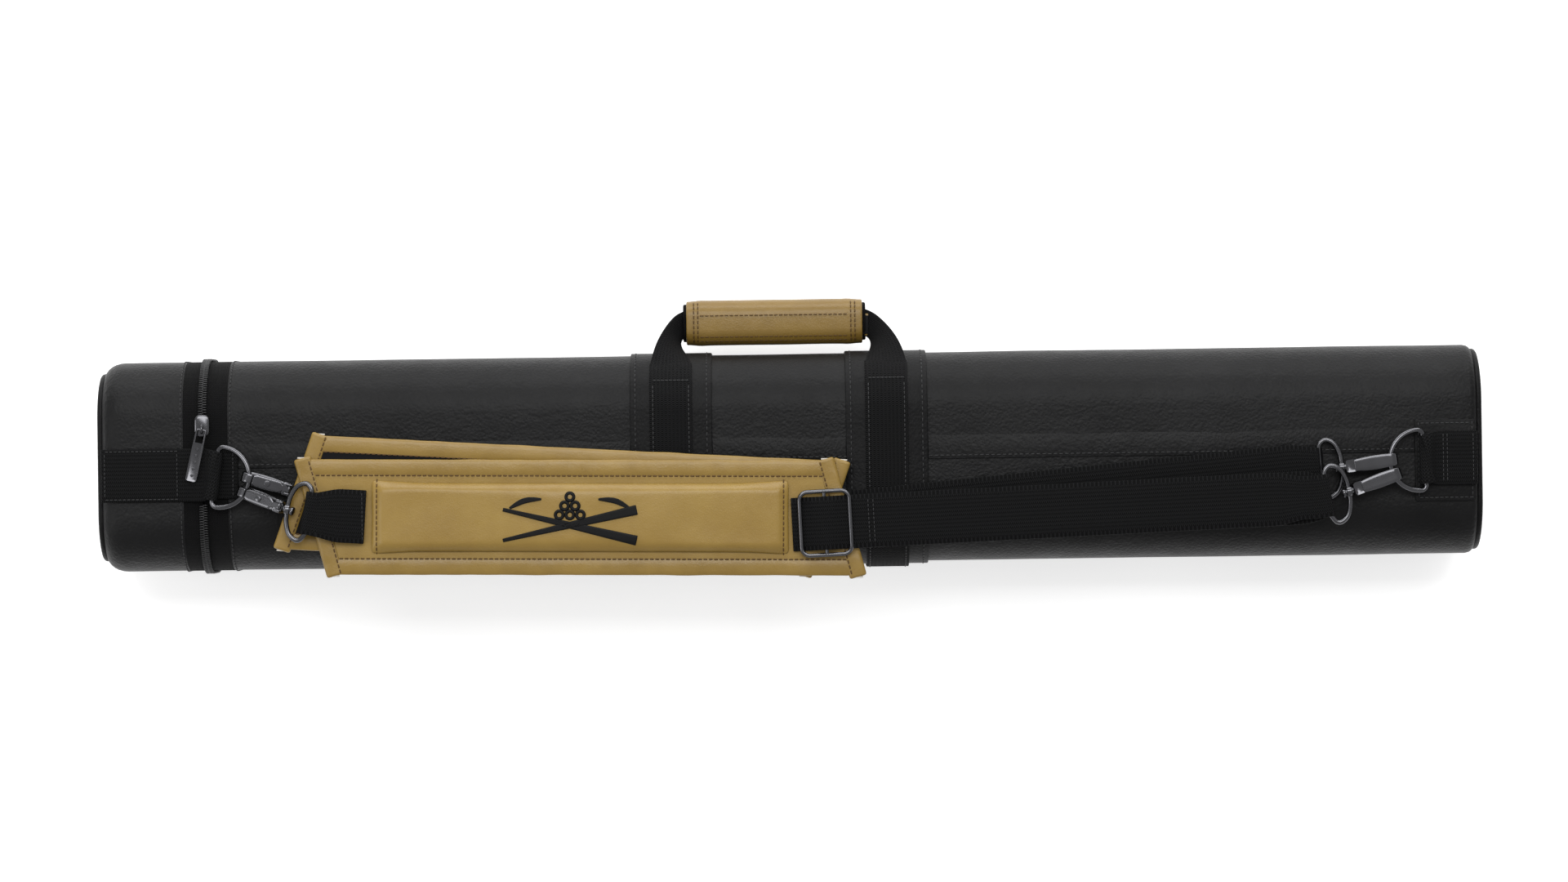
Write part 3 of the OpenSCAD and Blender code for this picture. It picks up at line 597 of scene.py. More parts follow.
def wrap_uv(piece):
    """Lay the UV map on a sleeve in metres: round the case, then along it."""
    mesh = piece.data
    layer = mesh.uv_layers[0] if mesh.uv_layers else mesh.uv_layers.new(name="UVMap")
    for face in mesh.polygons:
        middle = girth_of(face.center.y, face.center.z)
        for i in face.loop_indices:
            co = mesh.vertices[mesh.loops[i].vertex_index].co
            s = girth_of(co.y, co.z)
            if s - middle > GIRTH / 2:
                s -= GIRTH
            elif middle - s > GIRTH / 2:
                s += GIRTH
            layer.data[i].uv = (s, co.x)


def press(piece, depth):
    """Push each point of a sleeve inwards by depth(point)."""
    for vertex in piece.data.vertices:
        co = vertex.co
        vertex.co = co - outward(co.y, co.z) * depth(co)


def soft_wave(co, size, seed):
    """A slow wave between 0 and 1, the same at every run."""
    return 0.5 + 0.5 * noise.noise(Vector((co.x / size, co.y / size + seed, co.z / size)))


print("girth", round(GIRTH, 4), "m")

# %% [markdown]
# ## Covers
# The covers are thin leatherette over foam. The real one is drawn tight, dips a little between its seams and turns in
# at both ends where the piping holds it. A bevelled cube gives the exact section, and a slow wave takes off its
# machine-made look.

# %% Main cover and lid cover
TURN_RIGHT, TURN_LEFT = 5.0 * MM, 12 * MM


def turned_in(x, end, radius):
    """How far a rounded end draws in, near the end at x = end."""
    d = radius - abs(end - x)
    return radius - math.sqrt(max(0.0, radius * radius - d * d)) if d > 0 else 0.0



def cover_sleeve(name, x0, x1, steps):
    """A cover cut into rings at the given places along X."""
    piece = sleeve(name, x0, x1, 0, 0, 0, 7)
    for x in steps:
        pick(piece, lambda f: True)
        bpy.ops.mesh.bisect(plane_co=(x, 0, 0), plane_no=(1, 0, 0))
        leave()
    return piece


body_rings = [cover_low.x + (cover_high.x - cover_low.x) * i / 44 for i in range(1, 44)]
body_rings += [cover_high.x - TURN_RIGHT * f for f in (0.15, 0.35, 0.6, 1.0)]
case_cover = cover_sleeve("case_cover", cover_low.x, cover_high.x, body_rings)
press(case_cover, lambda co: 0.5 * MM * soft_wave(co, 0.06, 3) + turned_in(co.x, cover_high.x, TURN_RIGHT))
modify(case_cover, "SOLIDIFY", thickness=1.5 * MM, offset=-1)
finish_piece(case_cover, "case", "black_leather", BLACK_LEATHER, "cover_main")

lid_rings = [lid_low.x + TURN_LEFT * f for f in (0.08, 0.2, 0.36, 0.55, 0.78, 1.0)] + [lid_low.x + f * MM for f in (18, 24, 30, 37, 44)]
lid_cover = cover_sleeve("lid_cover_leather", lid_low.x, lid_high.x, lid_rings)
press(lid_cover, lambda co: 0.4 * MM * soft_wave(co, 0.04, 9) + turned_in(co.x, lid_low.x, TURN_LEFT) * 0.75)
modify(lid_cover, "SOLIDIFY", thickness=1.5 * MM, offset=-1)
finish_piece(lid_cover, "lid", "black_leather", BLACK_LEATHER, "lid_cover")
print("covers", len(case_cover.data.polygons), len(lid_cover.data.polygons))

# %% [markdown]
# ## Foam and the lid's shell
# Under the cover lie a foam sheet and a stiff shell. Where the cover turns in at the ends they must turn in too, or
# they would stick out of it. The same sleeve, one layer further in and pressed in the same way, gives each of them.

# %% Foam under the covers and the stiff lid
def foam_layer(name, node, grow, wall, pull, body, slot, material):
    low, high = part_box(node)
    rings = [high.x - TURN_RIGHT * f for f in (0.15, 0.35, 0.6, 1.0)] if body == "case" else [low.x + TURN_LEFT * f for f in (0.08, 0.2, 0.36, 0.55, 0.78, 1.0)]
    piece = cover_sleeve(name, low.x, high.x, rings)
    for vertex in piece.data.vertices:
        co = vertex.co
        vertex.co = co + outward(co.y, co.z) * grow
    press(piece, pull)
    modify(piece, "SOLIDIFY", thickness=wall, offset=-1)
    return finish_piece(piece, body, slot, material, node)


def pull_in_left(co):
    return turned_in(co.x, lid_low.x, TURN_LEFT) * 0.75


foam_layer("case_foam", "padding_main", -2.1 * MM, 2.3 * MM,
           lambda co: turned_in(co.x, cover_high.x, TURN_RIGHT), "case", "foam", FOAM)
foam_layer("lid_foam", "lid_padding", -2.0 * MM, 2.4 * MM, pull_in_left, "lid", "foam", FOAM)
foam_layer("lid_wall", "lid_shell", -4.5 * MM, 3 * MM, pull_in_left, "lid", "shell_plastic", SHELL)
print("foam done")

# %% [markdown]
# ## Ends
# Each end is a padded panel inside a ring of piping. The panel starts as the same rounded section, filled in, inset
# twice, and its middle pushed out. The piping is a wire that follows the edge of the cover.

# %% End panels and piping
def ring_points(x, grow, steps=120):
    return [girth_point(GIRTH * i / steps, grow, x)[0] for i in range(steps)]


def end_panel(name, x_rim, side, inset, bulge, body, node):
    """A padded end panel: side is 1 at the closed end and -1 on the lid."""
    deep = x_rim - side * 5 * MM
    piece = block(name, (min(deep, x_rim), -HALF_W + inset, BOTTOM + inset),
                  (max(deep, x_rim), HALF_W - inset, TOP - inset))
    pick(piece, runs_along(0), "EDGE")
    bpy.ops.mesh.bevel(offset=CORNER - inset, segments=12, affect="EDGES")
    leave()
    for step, push in ((2.5 * MM, 0.55), (6 * MM, 0.3), (14 * MM, 0.15)):
        outer = max(side * v.co.x for v in piece.data.vertices)
        pick(piece, lambda f: side * f.normal.x > 0.9 and side * f.calc_center_median().x > outer - 0.00001)
        bpy.ops.mesh.inset(thickness=step)
        bpy.ops.transform.translate(value=(side * bulge * push, 0, 0))
        leave()
    return finish_piece(piece, body, "black_leather", BLACK_LEATHER, node, angle=60)


BOARD_INSET = 13.5 * MM
BOARD_T = 3 * MM
lid_board = block("lid_board", (lid_low.x, -HALF_W + BOARD_INSET, BOTTOM + BOARD_INSET),
                  (lid_low.x + BOARD_T, HALF_W - BOARD_INSET, TOP - BOARD_INSET))
pick(lid_board, runs_along(0), "EDGE")
bpy.ops.mesh.bevel(offset=CORNER - BOARD_INSET, segments=10, affect="EDGES")
leave()
finish_piece(lid_board, "lid", "shell_plastic", SHELL)
RING = 2.0 * MM
end_panel("end_panel_leather", cover_high.x + 1.2 * MM, 1, 6.2 * MM, 3.2 * MM, "case", "end_panel")
end_panel("lid_panel_leather", lid_low.x - 1.0 * MM, -1, 10.2 * MM, 3.4 * MM, "lid", "lid_end_panel")
right_piping = wire("end_piping_cord", ring_points(cover_high.x + 0.6 * MM, -4.6 * MM), RING)
finish_piece(right_piping, "case", "black_leather", STRIP_LEATHER, "end_piping")
left_piping = wire("lid_piping_cord", ring_points(lid_low.x - 0.4 * MM, -8.6 * MM), RING)
finish_piece(left_piping, "lid", "black_leather", STRIP_LEATHER, "lid_piping")
print("ends done")

# %% [markdown]
# ## Strips, bands and zip tapes
# Two leather strips go round the case under the handle, and a webbing band lies on each. The strips are narrow
# sleeves with a rounded edge, stitched along both sides. A zip tape is the same kind of sleeve in a finer weave.

# %% Strips and their stitches
HANDLE_X = -6 * MM
BAND_PITCH = 129.5 * MM
STRIP_W = 49 * MM


def girth_line(x, grow, start, stop, steps=80):
    """Points round the case between two girth marks, with their outward directions."""
    found = [girth_point(start + (stop - start) * i / steps, grow, x) for i in range(steps + 1)]
    return [p for p, n in found], [n for p, n in found]


strips, bands = [], []
for side in (-1, 1):
    x = HANDLE_X + side * BAND_PITCH / 2
    strip = sleeve(f"strip_{'left' if side < 0 else 'right'}", x - STRIP_W / 2, x + STRIP_W / 2, 1.2 * MM, 1.6 * MM, 0)
    modify(strip, "BEVEL", width=0.55 * MM, segments=2, limit_method="ANGLE", angle_limit=math.radians(50))
    finish_piece(strip, "case", "black_leather", STRIP_LEATHER)
    strips.append(strip)
    for edge in (-1, 1):
        line, ups = girth_line(x + edge * (STRIP_W / 2 - 3 * MM), 1.25 * MM, 0, GIRTH)
        stitched(f"strip_stitches_{side + 1}{edge + 1}", line, ups, "case", BLACK_THREAD, "black_webbing", pitch=3.4 * MM)
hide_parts("handle_strips")

# %% Webbing bands round the case
WEB_T = 1.6 * MM
BAND_W = 25.5 * MM
for side in (-1, 1):
    x = HANDLE_X + side * BAND_PITCH / 2

    def band_place(u, v, x=x):
        s = start_mark + (stop_mark - start_mark) * u
        return girth_point(s, 1.4 * MM + WEB_T / 2, x + (v - 0.5) * BAND_W)[0]

    top_leave = FLAT_Y + ARC * 52 / 90
    low_leave = FLAT_Y + ARC + 2 * FLAT_Z + ARC * 38 / 90
    start_mark, stop_mark = low_leave, GIRTH + top_leave
    band = sheet_of(f"girth_band_{'left' if side < 0 else 'right'}", 90, 6, band_place, stop_mark - start_mark, BAND_W)
    modify(band, "SOLIDIFY", thickness=WEB_T, offset=0)
    modify(band, "BEVEL", width=0.35 * MM, segments=2, limit_method="ANGLE", angle_limit=math.radians(50))
    finish_piece(band, "case", "black_webbing", WEB)
    bands.append(band)
    for edge in (-1, 1):
        line, ups = girth_line(x + edge * (BAND_W / 2 - 2 * MM), 1.4 * MM + WEB_T + 0.05 * MM, start_mark, GIRTH + FLAT_Y + ARC * 0.3)
        stitched(f"band_stitches_{side + 1}{edge + 1}", line, ups, "case", BLACK_THREAD, "black_webbing", pitch=2.8 * MM)
    s_cross = FLAT_Y + ARC * 0.33
    line = [girth_point(s_cross, 1.4 * MM + WEB_T + 0.05 * MM, x + (i / 10 - 0.5) * (BAND_W - 4 * MM))[0] for i in range(11)]
    stitched(f"band_cross_{side + 1}", line, girth_point(s_cross)[1], "case", BLACK_THREAD, "black_webbing", pitch=2.4 * MM)
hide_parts("girth_bands")
print("strips and bands done")

# %% Zip tapes
tape_low, tape_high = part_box("zip_tape_body")
lid_tape_low, lid_tape_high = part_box("zip_tape_lid")
body_tape = sleeve("zip_tape_on_body", tape_low.x, tape_high.x, -0.15 * MM, 1.2 * MM, 2)
finish_piece(body_tape, "case", "black_webbing", TAPE, "zip_tape_body")
lid_tape = sleeve("zip_tape_on_lid", lid_tape_low.x, lid_tape_high.x, -0.15 * MM, 1.2 * MM, 2)
finish_piece(lid_tape, "lid", "black_webbing", TAPE, "zip_tape_lid")
for name, x, body in (("body", tape_high.x + 1.4 * MM, "case"), ("lid", lid_tape_low.x - 1.4 * MM, "lid")):
    line, ups = girth_line(x, 0.1 * MM, 0, GIRTH)
    stitched(f"zip_stitches_{name}", line, ups, body, BLACK_THREAD, "black_webbing", pitch=3.0 * MM)
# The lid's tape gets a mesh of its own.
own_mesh(lid_tape)

# %% [markdown]
# ## The zip
# A nylon coil zip is a row of small loops on each tape that lock in the middle. One loop is a bevelled block, and
# copies of it go round the case at 1.5 mm, left and right by half a step. The teeth stop under the hinge webbing.

# %% Zip teeth
ANCHOR_Y = -5 * MM
HINGE_HALF = 16 * MM
slider_low, slider_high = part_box("zip_slider")
TOOTH_PITCH = 1.5 * MM
tooth = block("tooth_seed", (-1.5 * MM, -0.5 * MM, -0.7 * MM), (1.5 * MM, 0.5 * MM, 0.9 * MM))
modify(tooth, "BEVEL", width=0.3 * MM, segments=1)


def teeth(name, side, body, node):
    """One half of the closed chain: side is 1 on the case and -1 on the lid."""
    places = []
    count = int(GIRTH / TOOTH_PITCH)
    for i in range(count):
        s = (i + (0.5 if side > 0 else 0)) * GIRTH / count
        point, up = girth_point(s, 0.8 * MM, ZIP_X + side * 1.05 * MM)
        hidden = up.z > 0.99 and ANCHOR_Y - HINGE_HALF - 2 * MM < point.y < slider_high.y
        if not hidden:
            places.append(frame_at(point, (side, 0, 0), up))
    row = copies(name, tooth, places)
    return finish_piece(row, body, "zip_plastic", NYLON, node, angle=60)


case_teeth = teeth("zip_teeth_on_body", 1, "case", "zip_coil_body")
lid_teeth = teeth("zip_teeth_on_lid", -1, "lid", "zip_coil_lid")
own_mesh(lid_teeth)
drop(tooth)
print("teeth", len(case_teeth.data.polygons) + len(lid_teeth.data.polygons), "faces")

# %% Zip slider and its pull
slider_mid = (slider_low + slider_high) / 2
slider = block("slider_plate", (slider_mid.x - 4.4 * MM, slider_low.y, slider_low.z), (slider_mid.x + 4.4 * MM, slider_high.y, slider_low.z + 1.9 * MM))
pick(slider, runs_along(2), "EDGE")
bpy.ops.mesh.bevel(offset=3.2 * MM, segments=3, affect="EDGES")
leave()
pick(slider, lambda f: f.normal.z > 0.9)
bpy.ops.mesh.inset(thickness=1.0 * MM)
bpy.ops.transform.translate(value=(0, 0, 0.35 * MM))
leave()
modify(slider, "BEVEL", width=0.3 * MM, segments=2, limit_method="ANGLE", angle_limit=math.radians(35))
bridge_points = [(slider_mid.x, slider_mid.y + y * MM, slider_low.z + z * MM) for y, z in
                 ((-4.2, 1.2), (-4.2, 3.4), (-3.6, 4.2), (-2.6, 4.5), (-1.4, 4.5), (-0.2, 3.8), (0.2, 1.2))]
bridge = wire("slider_bridge", bridge_points, 0.8 * MM, closed=False)
slider = joined("zip_slider_metal", [slider, bridge])
finish_piece(slider, "zip_slider", "gunmetal", GUNMETAL, "zip_slider")

pull_joint = next(j for j in frame["joints"] if j["name"] == "zip_pull_flip")
PULL_PIVOT = Vector(pull_joint["pos_m"])
PULL_LEAN = math.radians(-13)
pull_turn = Matrix.Translation(PULL_PIVOT) @ Matrix.Rotation(PULL_LEAN, 4, "Z")


pull = block("pull_tab", (-3.4 * MM, -31.6 * MM, -0.62 * MM), (3.4 * MM, -8 * MM, 0.62 * MM))
pick(pull, runs_along(2), "EDGE")
bpy.ops.mesh.bevel(offset=1.6 * MM, segments=3, affect="EDGES")
leave()
pick(pull, lambda f: abs(f.normal.z) > 0.9)
bpy.ops.mesh.inset(thickness=0.9 * MM, use_individual=True)
bpy.ops.transform.resize(value=(1, 1, 0.45))
leave()
modify(pull, "BEVEL", width=0.18 * MM, segments=2, limit_method="ANGLE", angle_limit=math.radians(40))
studs = []
for i in range(5):
    nothing_selected()
    bpy.ops.mesh.primitive_cylinder_add(vertices=4, radius=1.15 * MM, depth=1.0 * MM, location=(0, (-12 - 4 * i) * MM, 0))
    stud = settle(f"stud_{i}")
    modify(stud, "BEVEL", width=0.15 * MM, segments=1)
    studs.append(stud)
link = wire("pull_link", [Vector((x * MM, y * MM, 0)) for x, y in
                          ((-2.75, -8.8), (-2.75, -1.0), (-2.3, -0.1), (0, 0), (2.3, -0.1), (2.75, -1.0), (2.75, -8.8))], 0.7 * MM, closed=False)
pull = joined("zip_pull_tab", [pull, link, *studs])
pull.data.transform(pull_turn)
finish_piece(pull, "zip_pull", "gunmetal", GUNMETAL, "zip_pull")
print("zip done")

# %% [markdown]
# ## Straps that follow a path
# Webbing is a flat ribbon that bends easily one way. It could be extruded along a curve, but then its weave would
# stretch at each bend. Here a long flat block is cut across, its UV map is written in metres while it is still flat,
# and only then is it laid along its path, so that the weave keeps its size round every fold.

# %% Lay a flat block along a path
def strap(name, points, width, thickness, across, cuts=60, round_edge=0.35, widths=None):
    """A strap through the points. across(t) is the direction of its width, and widths(t) scales it."""
    points = [Vector(p) for p in points]
    marks = [0.0]
    for a, b in zip(points, points[1:]):
        marks.append(marks[-1] + (b - a).length)
    length = marks[-1]

    def at(d):
        d = max(0.0, min(length, d))
        i = 0
        while i < len(marks) - 2 and marks[i + 1] < d:
            i += 1
        f = (d - marks[i]) / (marks[i + 1] - marks[i])
        return points[i].lerp(points[i + 1], f)

    piece = block(name, (0, -width / 2, -thickness / 2), (length, width / 2, thickness / 2))
    pick(piece, runs_along(0), "EDGE")
    bpy.ops.mesh.subdivide(number_cuts=cuts)
    leave()
    pick(piece, runs_along(1), "EDGE")
    bpy.ops.mesh.subdivide(number_cuts=3)
    leave()
    layer = piece.data.uv_layers[0] if piece.data.uv_layers else piece.data.uv_layers.new(name="UVMap")
    for face in piece.data.polygons:
        for i in face.loop_indices:
            co = piece.data.vertices[piece.data.loops[i].vertex_index].co
            layer.data[i].uv = (co.x, co.y)
    if round_edge:
        modify(piece, "BEVEL", width=round_edge * thickness, segments=2, limit_method="ANGLE", angle_limit=math.radians(60))
    step = min(0.0012, length / 60)
    for vertex in piece.data.vertices:
        d, y, z = vertex.co
        t = d / length
        side = Vector(across(t) if callable(across) else across).normalized()
        along = (at(d + step) - at(d - step)).normalized()
        side = (side - along * side.dot(along)).normalized()
        up = along.cross(side)
        vertex.co = at(d) + side * y * (widths(t) if widths else 1) + up * z
    return piece


def line_points(a, b, steps):
    a, b = Vector(a), Vector(b)
    return [a.lerp(b, i / steps) for i in range(steps + 1)]


def ease(t):
    t = max(0.0, min(1.0, t))
    return t * t * (3 - 2 * t)


def web_line(name, line, up, body, pitch=2.6 * MM):
    return stitched(name, line, up, body, BLACK_THREAD, "black_webbing", pitch=pitch, length=1.9 * MM, radius=0.3 * MM)


UP = Vector((0, 0, 1))
print("strap helper ready")

# %% [markdown]
# ## Rings and their anchors
# The two D-rings are bent from round wire. Their points are a straight bar, two tight corners and one big bow, turned
# to where the hooks pull them. On the left, one webbing runs over the lid, across the zip and round the ring's bar.

# %% D-rings
WIRE_R = 1.6 * MM
RING_BEND = 18.1 * MM
RING_LEG = 3.2 * MM
RING_Z = TOP + 5.0 * MM
RING_RISE = math.radians(9.5)
rings = {}
for side, node, turn in ((1, "d_ring_left", -8), (-1, "d_ring_right", 4)):
    low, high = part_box(node)
    x = -344.5 * MM if side > 0 else 380.5 * MM
    half = RING_BEND - RING_LEG
    shape = [Vector((0, -half, 0)), Vector((0, 0, 0)), Vector((0, half, 0))]
    shape += arc((RING_LEG, half), RING_LEG, 180, 90, 6)[1:]
    shape += arc((RING_LEG, 0), RING_BEND, 90, -90, 40)[1:]
    shape += arc((RING_LEG, -half), RING_LEG, 270, 180, 6)[1:-1]
    spot = Matrix.Translation((x, -6 * MM, RING_Z)) @ Matrix.Rotation(math.radians(turn), 4, "Z")
    if side < 0:
        spot = spot @ Matrix.Rotation(math.pi, 4, "Z")
    spot = spot @ Matrix.Rotation(-RING_RISE, 4, "Y")
    ring = wire(node + "_wire", [spot @ p for p in shape], WIRE_R, resolution=6)
    finish_piece(ring, "case", "gunmetal", GUNMETAL, node, angle=60)
    rings[side] = spot
print("rings", [tuple(round(v, 4) for v in spot.translation) for spot in rings.values()])


# %% Webbing over the lid and round the left ring
def bar_fold(spot, radius, lead, steps=14, tail=0.006, direction=-1):
    """Points in a ring's own frame that go over its bar and come back under it."""
    found = [(direction * lead, radius), (direction * lead * 0.4, radius)]
    for i in range(steps + 1):
        a = math.pi / 2 - math.pi * i / steps
        found.append((-direction * radius * math.cos(a), radius * math.sin(a)))
    found += [(direction * tail * 0.5, -radius), (direction * tail, -radius)]
    return [spot @ Vector((x, 0, z)) for x, z in found]


flat_spot = Matrix.Translation((-344.5 * MM, -6 * MM, RING_Z)) @ Matrix.Rotation(math.radians(-8), 4, "Z")
fold_r = WIRE_R + WEB_T / 2 + 0.1 * MM
WEB_Y = -5 * MM
hinge_path = line_points((-413.2 * MM, WEB_Y, TOP + 1.0 * MM), (-366 * MM, WEB_Y, TOP + 1.0 * MM), 24)
hinge_path += [Vector((x * MM, WEB_Y, TOP + z * MM)) for x, z in
               ((-364, 1.05), (-361, 1.35), (-358, 1.9), (-355, 2.6), (-352, 3.0), (-350.5, 3.7), (-349.2, 5.2), (-347.6, 6.7))]
hinge_path += bar_fold(flat_spot, fold_r, 1.2 * MM)[1:-2]
hinge_path += [Vector((x * MM, WEB_Y, TOP + z * MM)) for x, z in ((-346.4, 1.6), (-344, 1.0), (-338, 0.95), (-331, 0.95))]


def hinge_across(t):
    a = math.radians(-8) * ease((t - 0.55) * 5)
    return Vector((math.sin(a) * -1, math.cos(a), 0))


hinge_strap = strap("lid_webbing", hinge_path, 32 * MM, WEB_T, hinge_across, cuts=150,
                    widths=lambda t: 1 - 0.09 * ease((t - 0.62) * 8))
finish_piece(hinge_strap, None, "black_webbing", WEB, "lid_band", "hinge_web", "anchor_web_left")
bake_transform(hinge_strap)
for y in (-14.4, 14.4):
    web_line(f"lid_web_row_{int(y + 20)}", line_points((-411 * MM, WEB_Y + y * MM, TOP + 1.85 * MM), (-367 * MM, WEB_Y + y * MM, TOP + 1.85 * MM), 4), UP, "lid")
web_line("lid_web_end", line_points((-411 * MM, WEB_Y - 13 * MM, TOP + 1.85 * MM), (-411 * MM, WEB_Y + 13 * MM, TOP + 1.85 * MM), 4), UP, "lid")
web_line("lid_web_inner", line_points((-367.5 * MM, WEB_Y - 13 * MM, TOP + 1.85 * MM), (-367.5 * MM, WEB_Y + 13 * MM, TOP + 1.85 * MM), 4), UP, "lid")
web_line("anchor_row", line_points((-334 * MM, WEB_Y - 13 * MM, TOP + 1.8 * MM), (-334 * MM, WEB_Y + 13 * MM, TOP + 1.8 * MM), 4), UP, "case")

# %% Patch and doubled webbing at the right ring
patch_low, patch_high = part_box("anchor_patch")
patch = block("anchor_patch_leather", (patch_low.x, patch_low.y, TOP - 0.1 * MM), (patch_high.x, patch_high.y, TOP + 1.0 * MM))
pick(patch, runs_along(2), "EDGE")
bpy.ops.mesh.bevel(offset=1.5 * MM, segments=3, affect="EDGES")
leave()
pick(patch, lambda f: f.normal.z > 0.9)
bpy.ops.mesh.inset(thickness=0.6 * MM)
bpy.ops.transform.translate(value=(0, 0, 0.12 * MM))
leave()
modify(patch, "BEVEL", width=0.25 * MM, segments=2, limit_method="ANGLE", angle_limit=math.radians(50))
finish_piece(patch, "case", "black_leather", STRIP_LEATHER, "anchor_patch")
inner = 2.2 * MM
corners = [(patch_low.x + inner, patch_low.y + inner), (patch_high.x - inner, patch_low.y + inner),
           (patch_high.x - inner, patch_high.y - inner), (patch_low.x + inner, patch_high.y - inner)]
outline_line = [Vector((*corners[i % 4], TOP + 1.2 * MM)) for i in range(5)]
stitched("patch_stitches", outline_line, UP, "case", BLACK_THREAD, "black_webbing", pitch=3.0 * MM)

right_spot = Matrix.Translation((380.5 * MM, -6 * MM, RING_Z)) @ Matrix.Rotation(math.radians(4), 4, "Z")
fold = bar_fold(right_spot, fold_r, 2 * MM, direction=1)
right_path = line_points((412.6 * MM, WEB_Y, TOP + 3.65 * MM), (390 * MM, WEB_Y, TOP + 3.65 * MM), 12)
right_path += [Vector((387 * MM, WEB_Y, TOP + 4.4 * MM)), Vector((384 * MM, WEB_Y, TOP + 6.6 * MM))] + fold[1:-2]
right_path += [Vector((x * MM, WEB_Y, TOP + z * MM)) for x, z in ((384, 2.6), (388, 2.05), (396, 2.0), (412.4, 2.0))]
right_web = strap("right_anchor_webbing", right_path, 32 * MM, WEB_T, lambda t: Vector((0, -1, 0)), cuts=110,
                  widths=lambda t: 1 - 0.1 * (ease((t - 0.3) * 6) - ease((t - 0.62) * 6)))
finish_piece(right_web, "case", "black_webbing", WEB, "anchor_web_right")
for x in (392, 394.4, 410):
    web_line(f"right_web_row_{int(x)}", line_points((x * MM, WEB_Y - 14 * MM, TOP + 4.5 * MM), (x * MM, WEB_Y + 14 * MM, TOP + 4.5 * MM), 4), UP, "case")
print("anchors done")

# %% [markdown]
# ## Swivel snap hooks
# A snap hook is cast in one piece: a rounded nose, a flat back, and a housing that holds the gate's pin and the
# swivel. It could be cut from a solid by booleans, but a strap laid round the nose, widened in the middle, with a
# bevelled housing joined on, gives cleaner faces. The gate is a body of its own, because it opens.

# %% Places of the four hooks
HOOK_LEN = 29 * MM
HOOK_FACTS = {
    "left_front": (1, -21, 15),
    "left_rear": (1, -17, -7),
    "right_front": (-1, 19, 5.8),
    "right_rear": (-1, 8, -7),
}


def turned(side, heading, rise):
    turn = Matrix.Rotation(math.radians(heading), 4, "Z")
    if side > 0:
        return turn @ Matrix.Rotation(math.radians(-rise), 4, "Y")
    return turn @ Matrix.Rotation(math.pi, 4, "Y") @ Matrix.Rotation(math.radians(rise), 4, "Y")


hook_spots, eye_spots = {}, {}
for name, (side, heading, rise) in HOOK_FACTS.items():
    pivot = Vector(next(j["pos_m"] for j in frame["joints"] if j["name"] == f"gate_{name}_hinge"))
    turn = turned(side, heading, rise)
    hook_spots[name] = Matrix.Translation(pivot - turn @ Vector((24.4 * MM, 0, 3.2 * MM))) @ turn
    barrel = hook_spots[name] @ Vector((HOOK_LEN, 0, 0))
    eye_spots[name] = Matrix.Translation(barrel) @ turned(side, heading / 2, rise / 2)
print({name: tuple(round(v, 4) for v in spot.translation) for name, spot in hook_spots.items()})


# %% Hook bodies and gates
def hook_shape(name):
    path = line_points((21.4 * MM, 0, -3.9 * MM), (2 * MM, 0, -3.9 * MM), 10)
    path += [Vector((-3.9 * MM * math.sin(math.radians(a)), 0, -3.9 * MM * math.cos(math.radians(a)))) for a in range(0, 181, 12)]
    path += [Vector((1.5 * MM, 0, 3.9 * MM))]
    back = strap(name, path, 7 * MM, 1.8 * MM, lambda t: Vector((0, 1, 0)), cuts=46, round_edge=0.3,
                 widths=lambda t: 1.0 + 0.22 * math.sin(math.pi * min(1, t * 1.35)) - 0.22 * ease((t - 0.62) * 3))
    housing = block("housing", (20.2 * MM, -3.9 * MM, -4.8 * MM), (26.4 * MM, 3.9 * MM, 2.6 * MM))
    pick(housing, runs_along(2), "EDGE")
    bpy.ops.mesh.bevel(offset=1.5 * MM, segments=3, affect="EDGES")
    leave()
    pick(housing, lambda f: f.normal.z < -0.9)
    bpy.ops.mesh.inset(thickness=1.2 * MM)
    bpy.ops.transform.translate(value=(0, 0, 0.5 * MM))
    leave()
    modify(housing, "BEVEL", width=0.35 * MM, segments=2, limit_method="ANGLE", angle_limit=math.radians(40))
    ears = []
    for y in (-1, 1):
        ear = block("ear", (21.9 * MM, min(2.0 * y, 3.5 * y) * MM, 0), (26.3 * MM, max(2.0 * y, 3.5 * y) * MM, 4.8 * MM))
        modify(ear, "BEVEL", width=0.6 * MM, segments=3, limit_method="ANGLE", angle_limit=math.radians(40))
        ears.append(ear)
    nothing_selected()
    bpy.ops.mesh.primitive_cylinder_add(vertices=20, radius=0.95 * MM, depth=7.8 * MM, location=(24.4 * MM, 0, 3.2 * MM), rotation=(math.pi / 2, 0, 0))
    pin = settle("pin")
    modify(pin, "BEVEL", width=0.3 * MM, segments=2, limit_method="ANGLE", angle_limit=math.radians(60))
    nothing_selected()
    bpy.ops.mesh.primitive_cylinder_add(vertices=24, radius=1.6 * MM, depth=6.2 * MM, location=(28.6 * MM, 0, 0), rotation=(0, math.pi / 2, 0))
    shank = settle("shank")
    nothing_selected()
    bpy.ops.mesh.primitive_cylinder_add(vertices=28, radius=2.7 * MM, depth=1.8 * MM, location=(32.3 * MM, 0, 0), rotation=(0, math.pi / 2, 0))
    head = settle("head")
    modify(head, "BEVEL", width=0.6 * MM, segments=3, limit_method="ANGLE", angle_limit=math.radians(60))
    return joined(name, [back, housing, *ears, pin, shank, head])


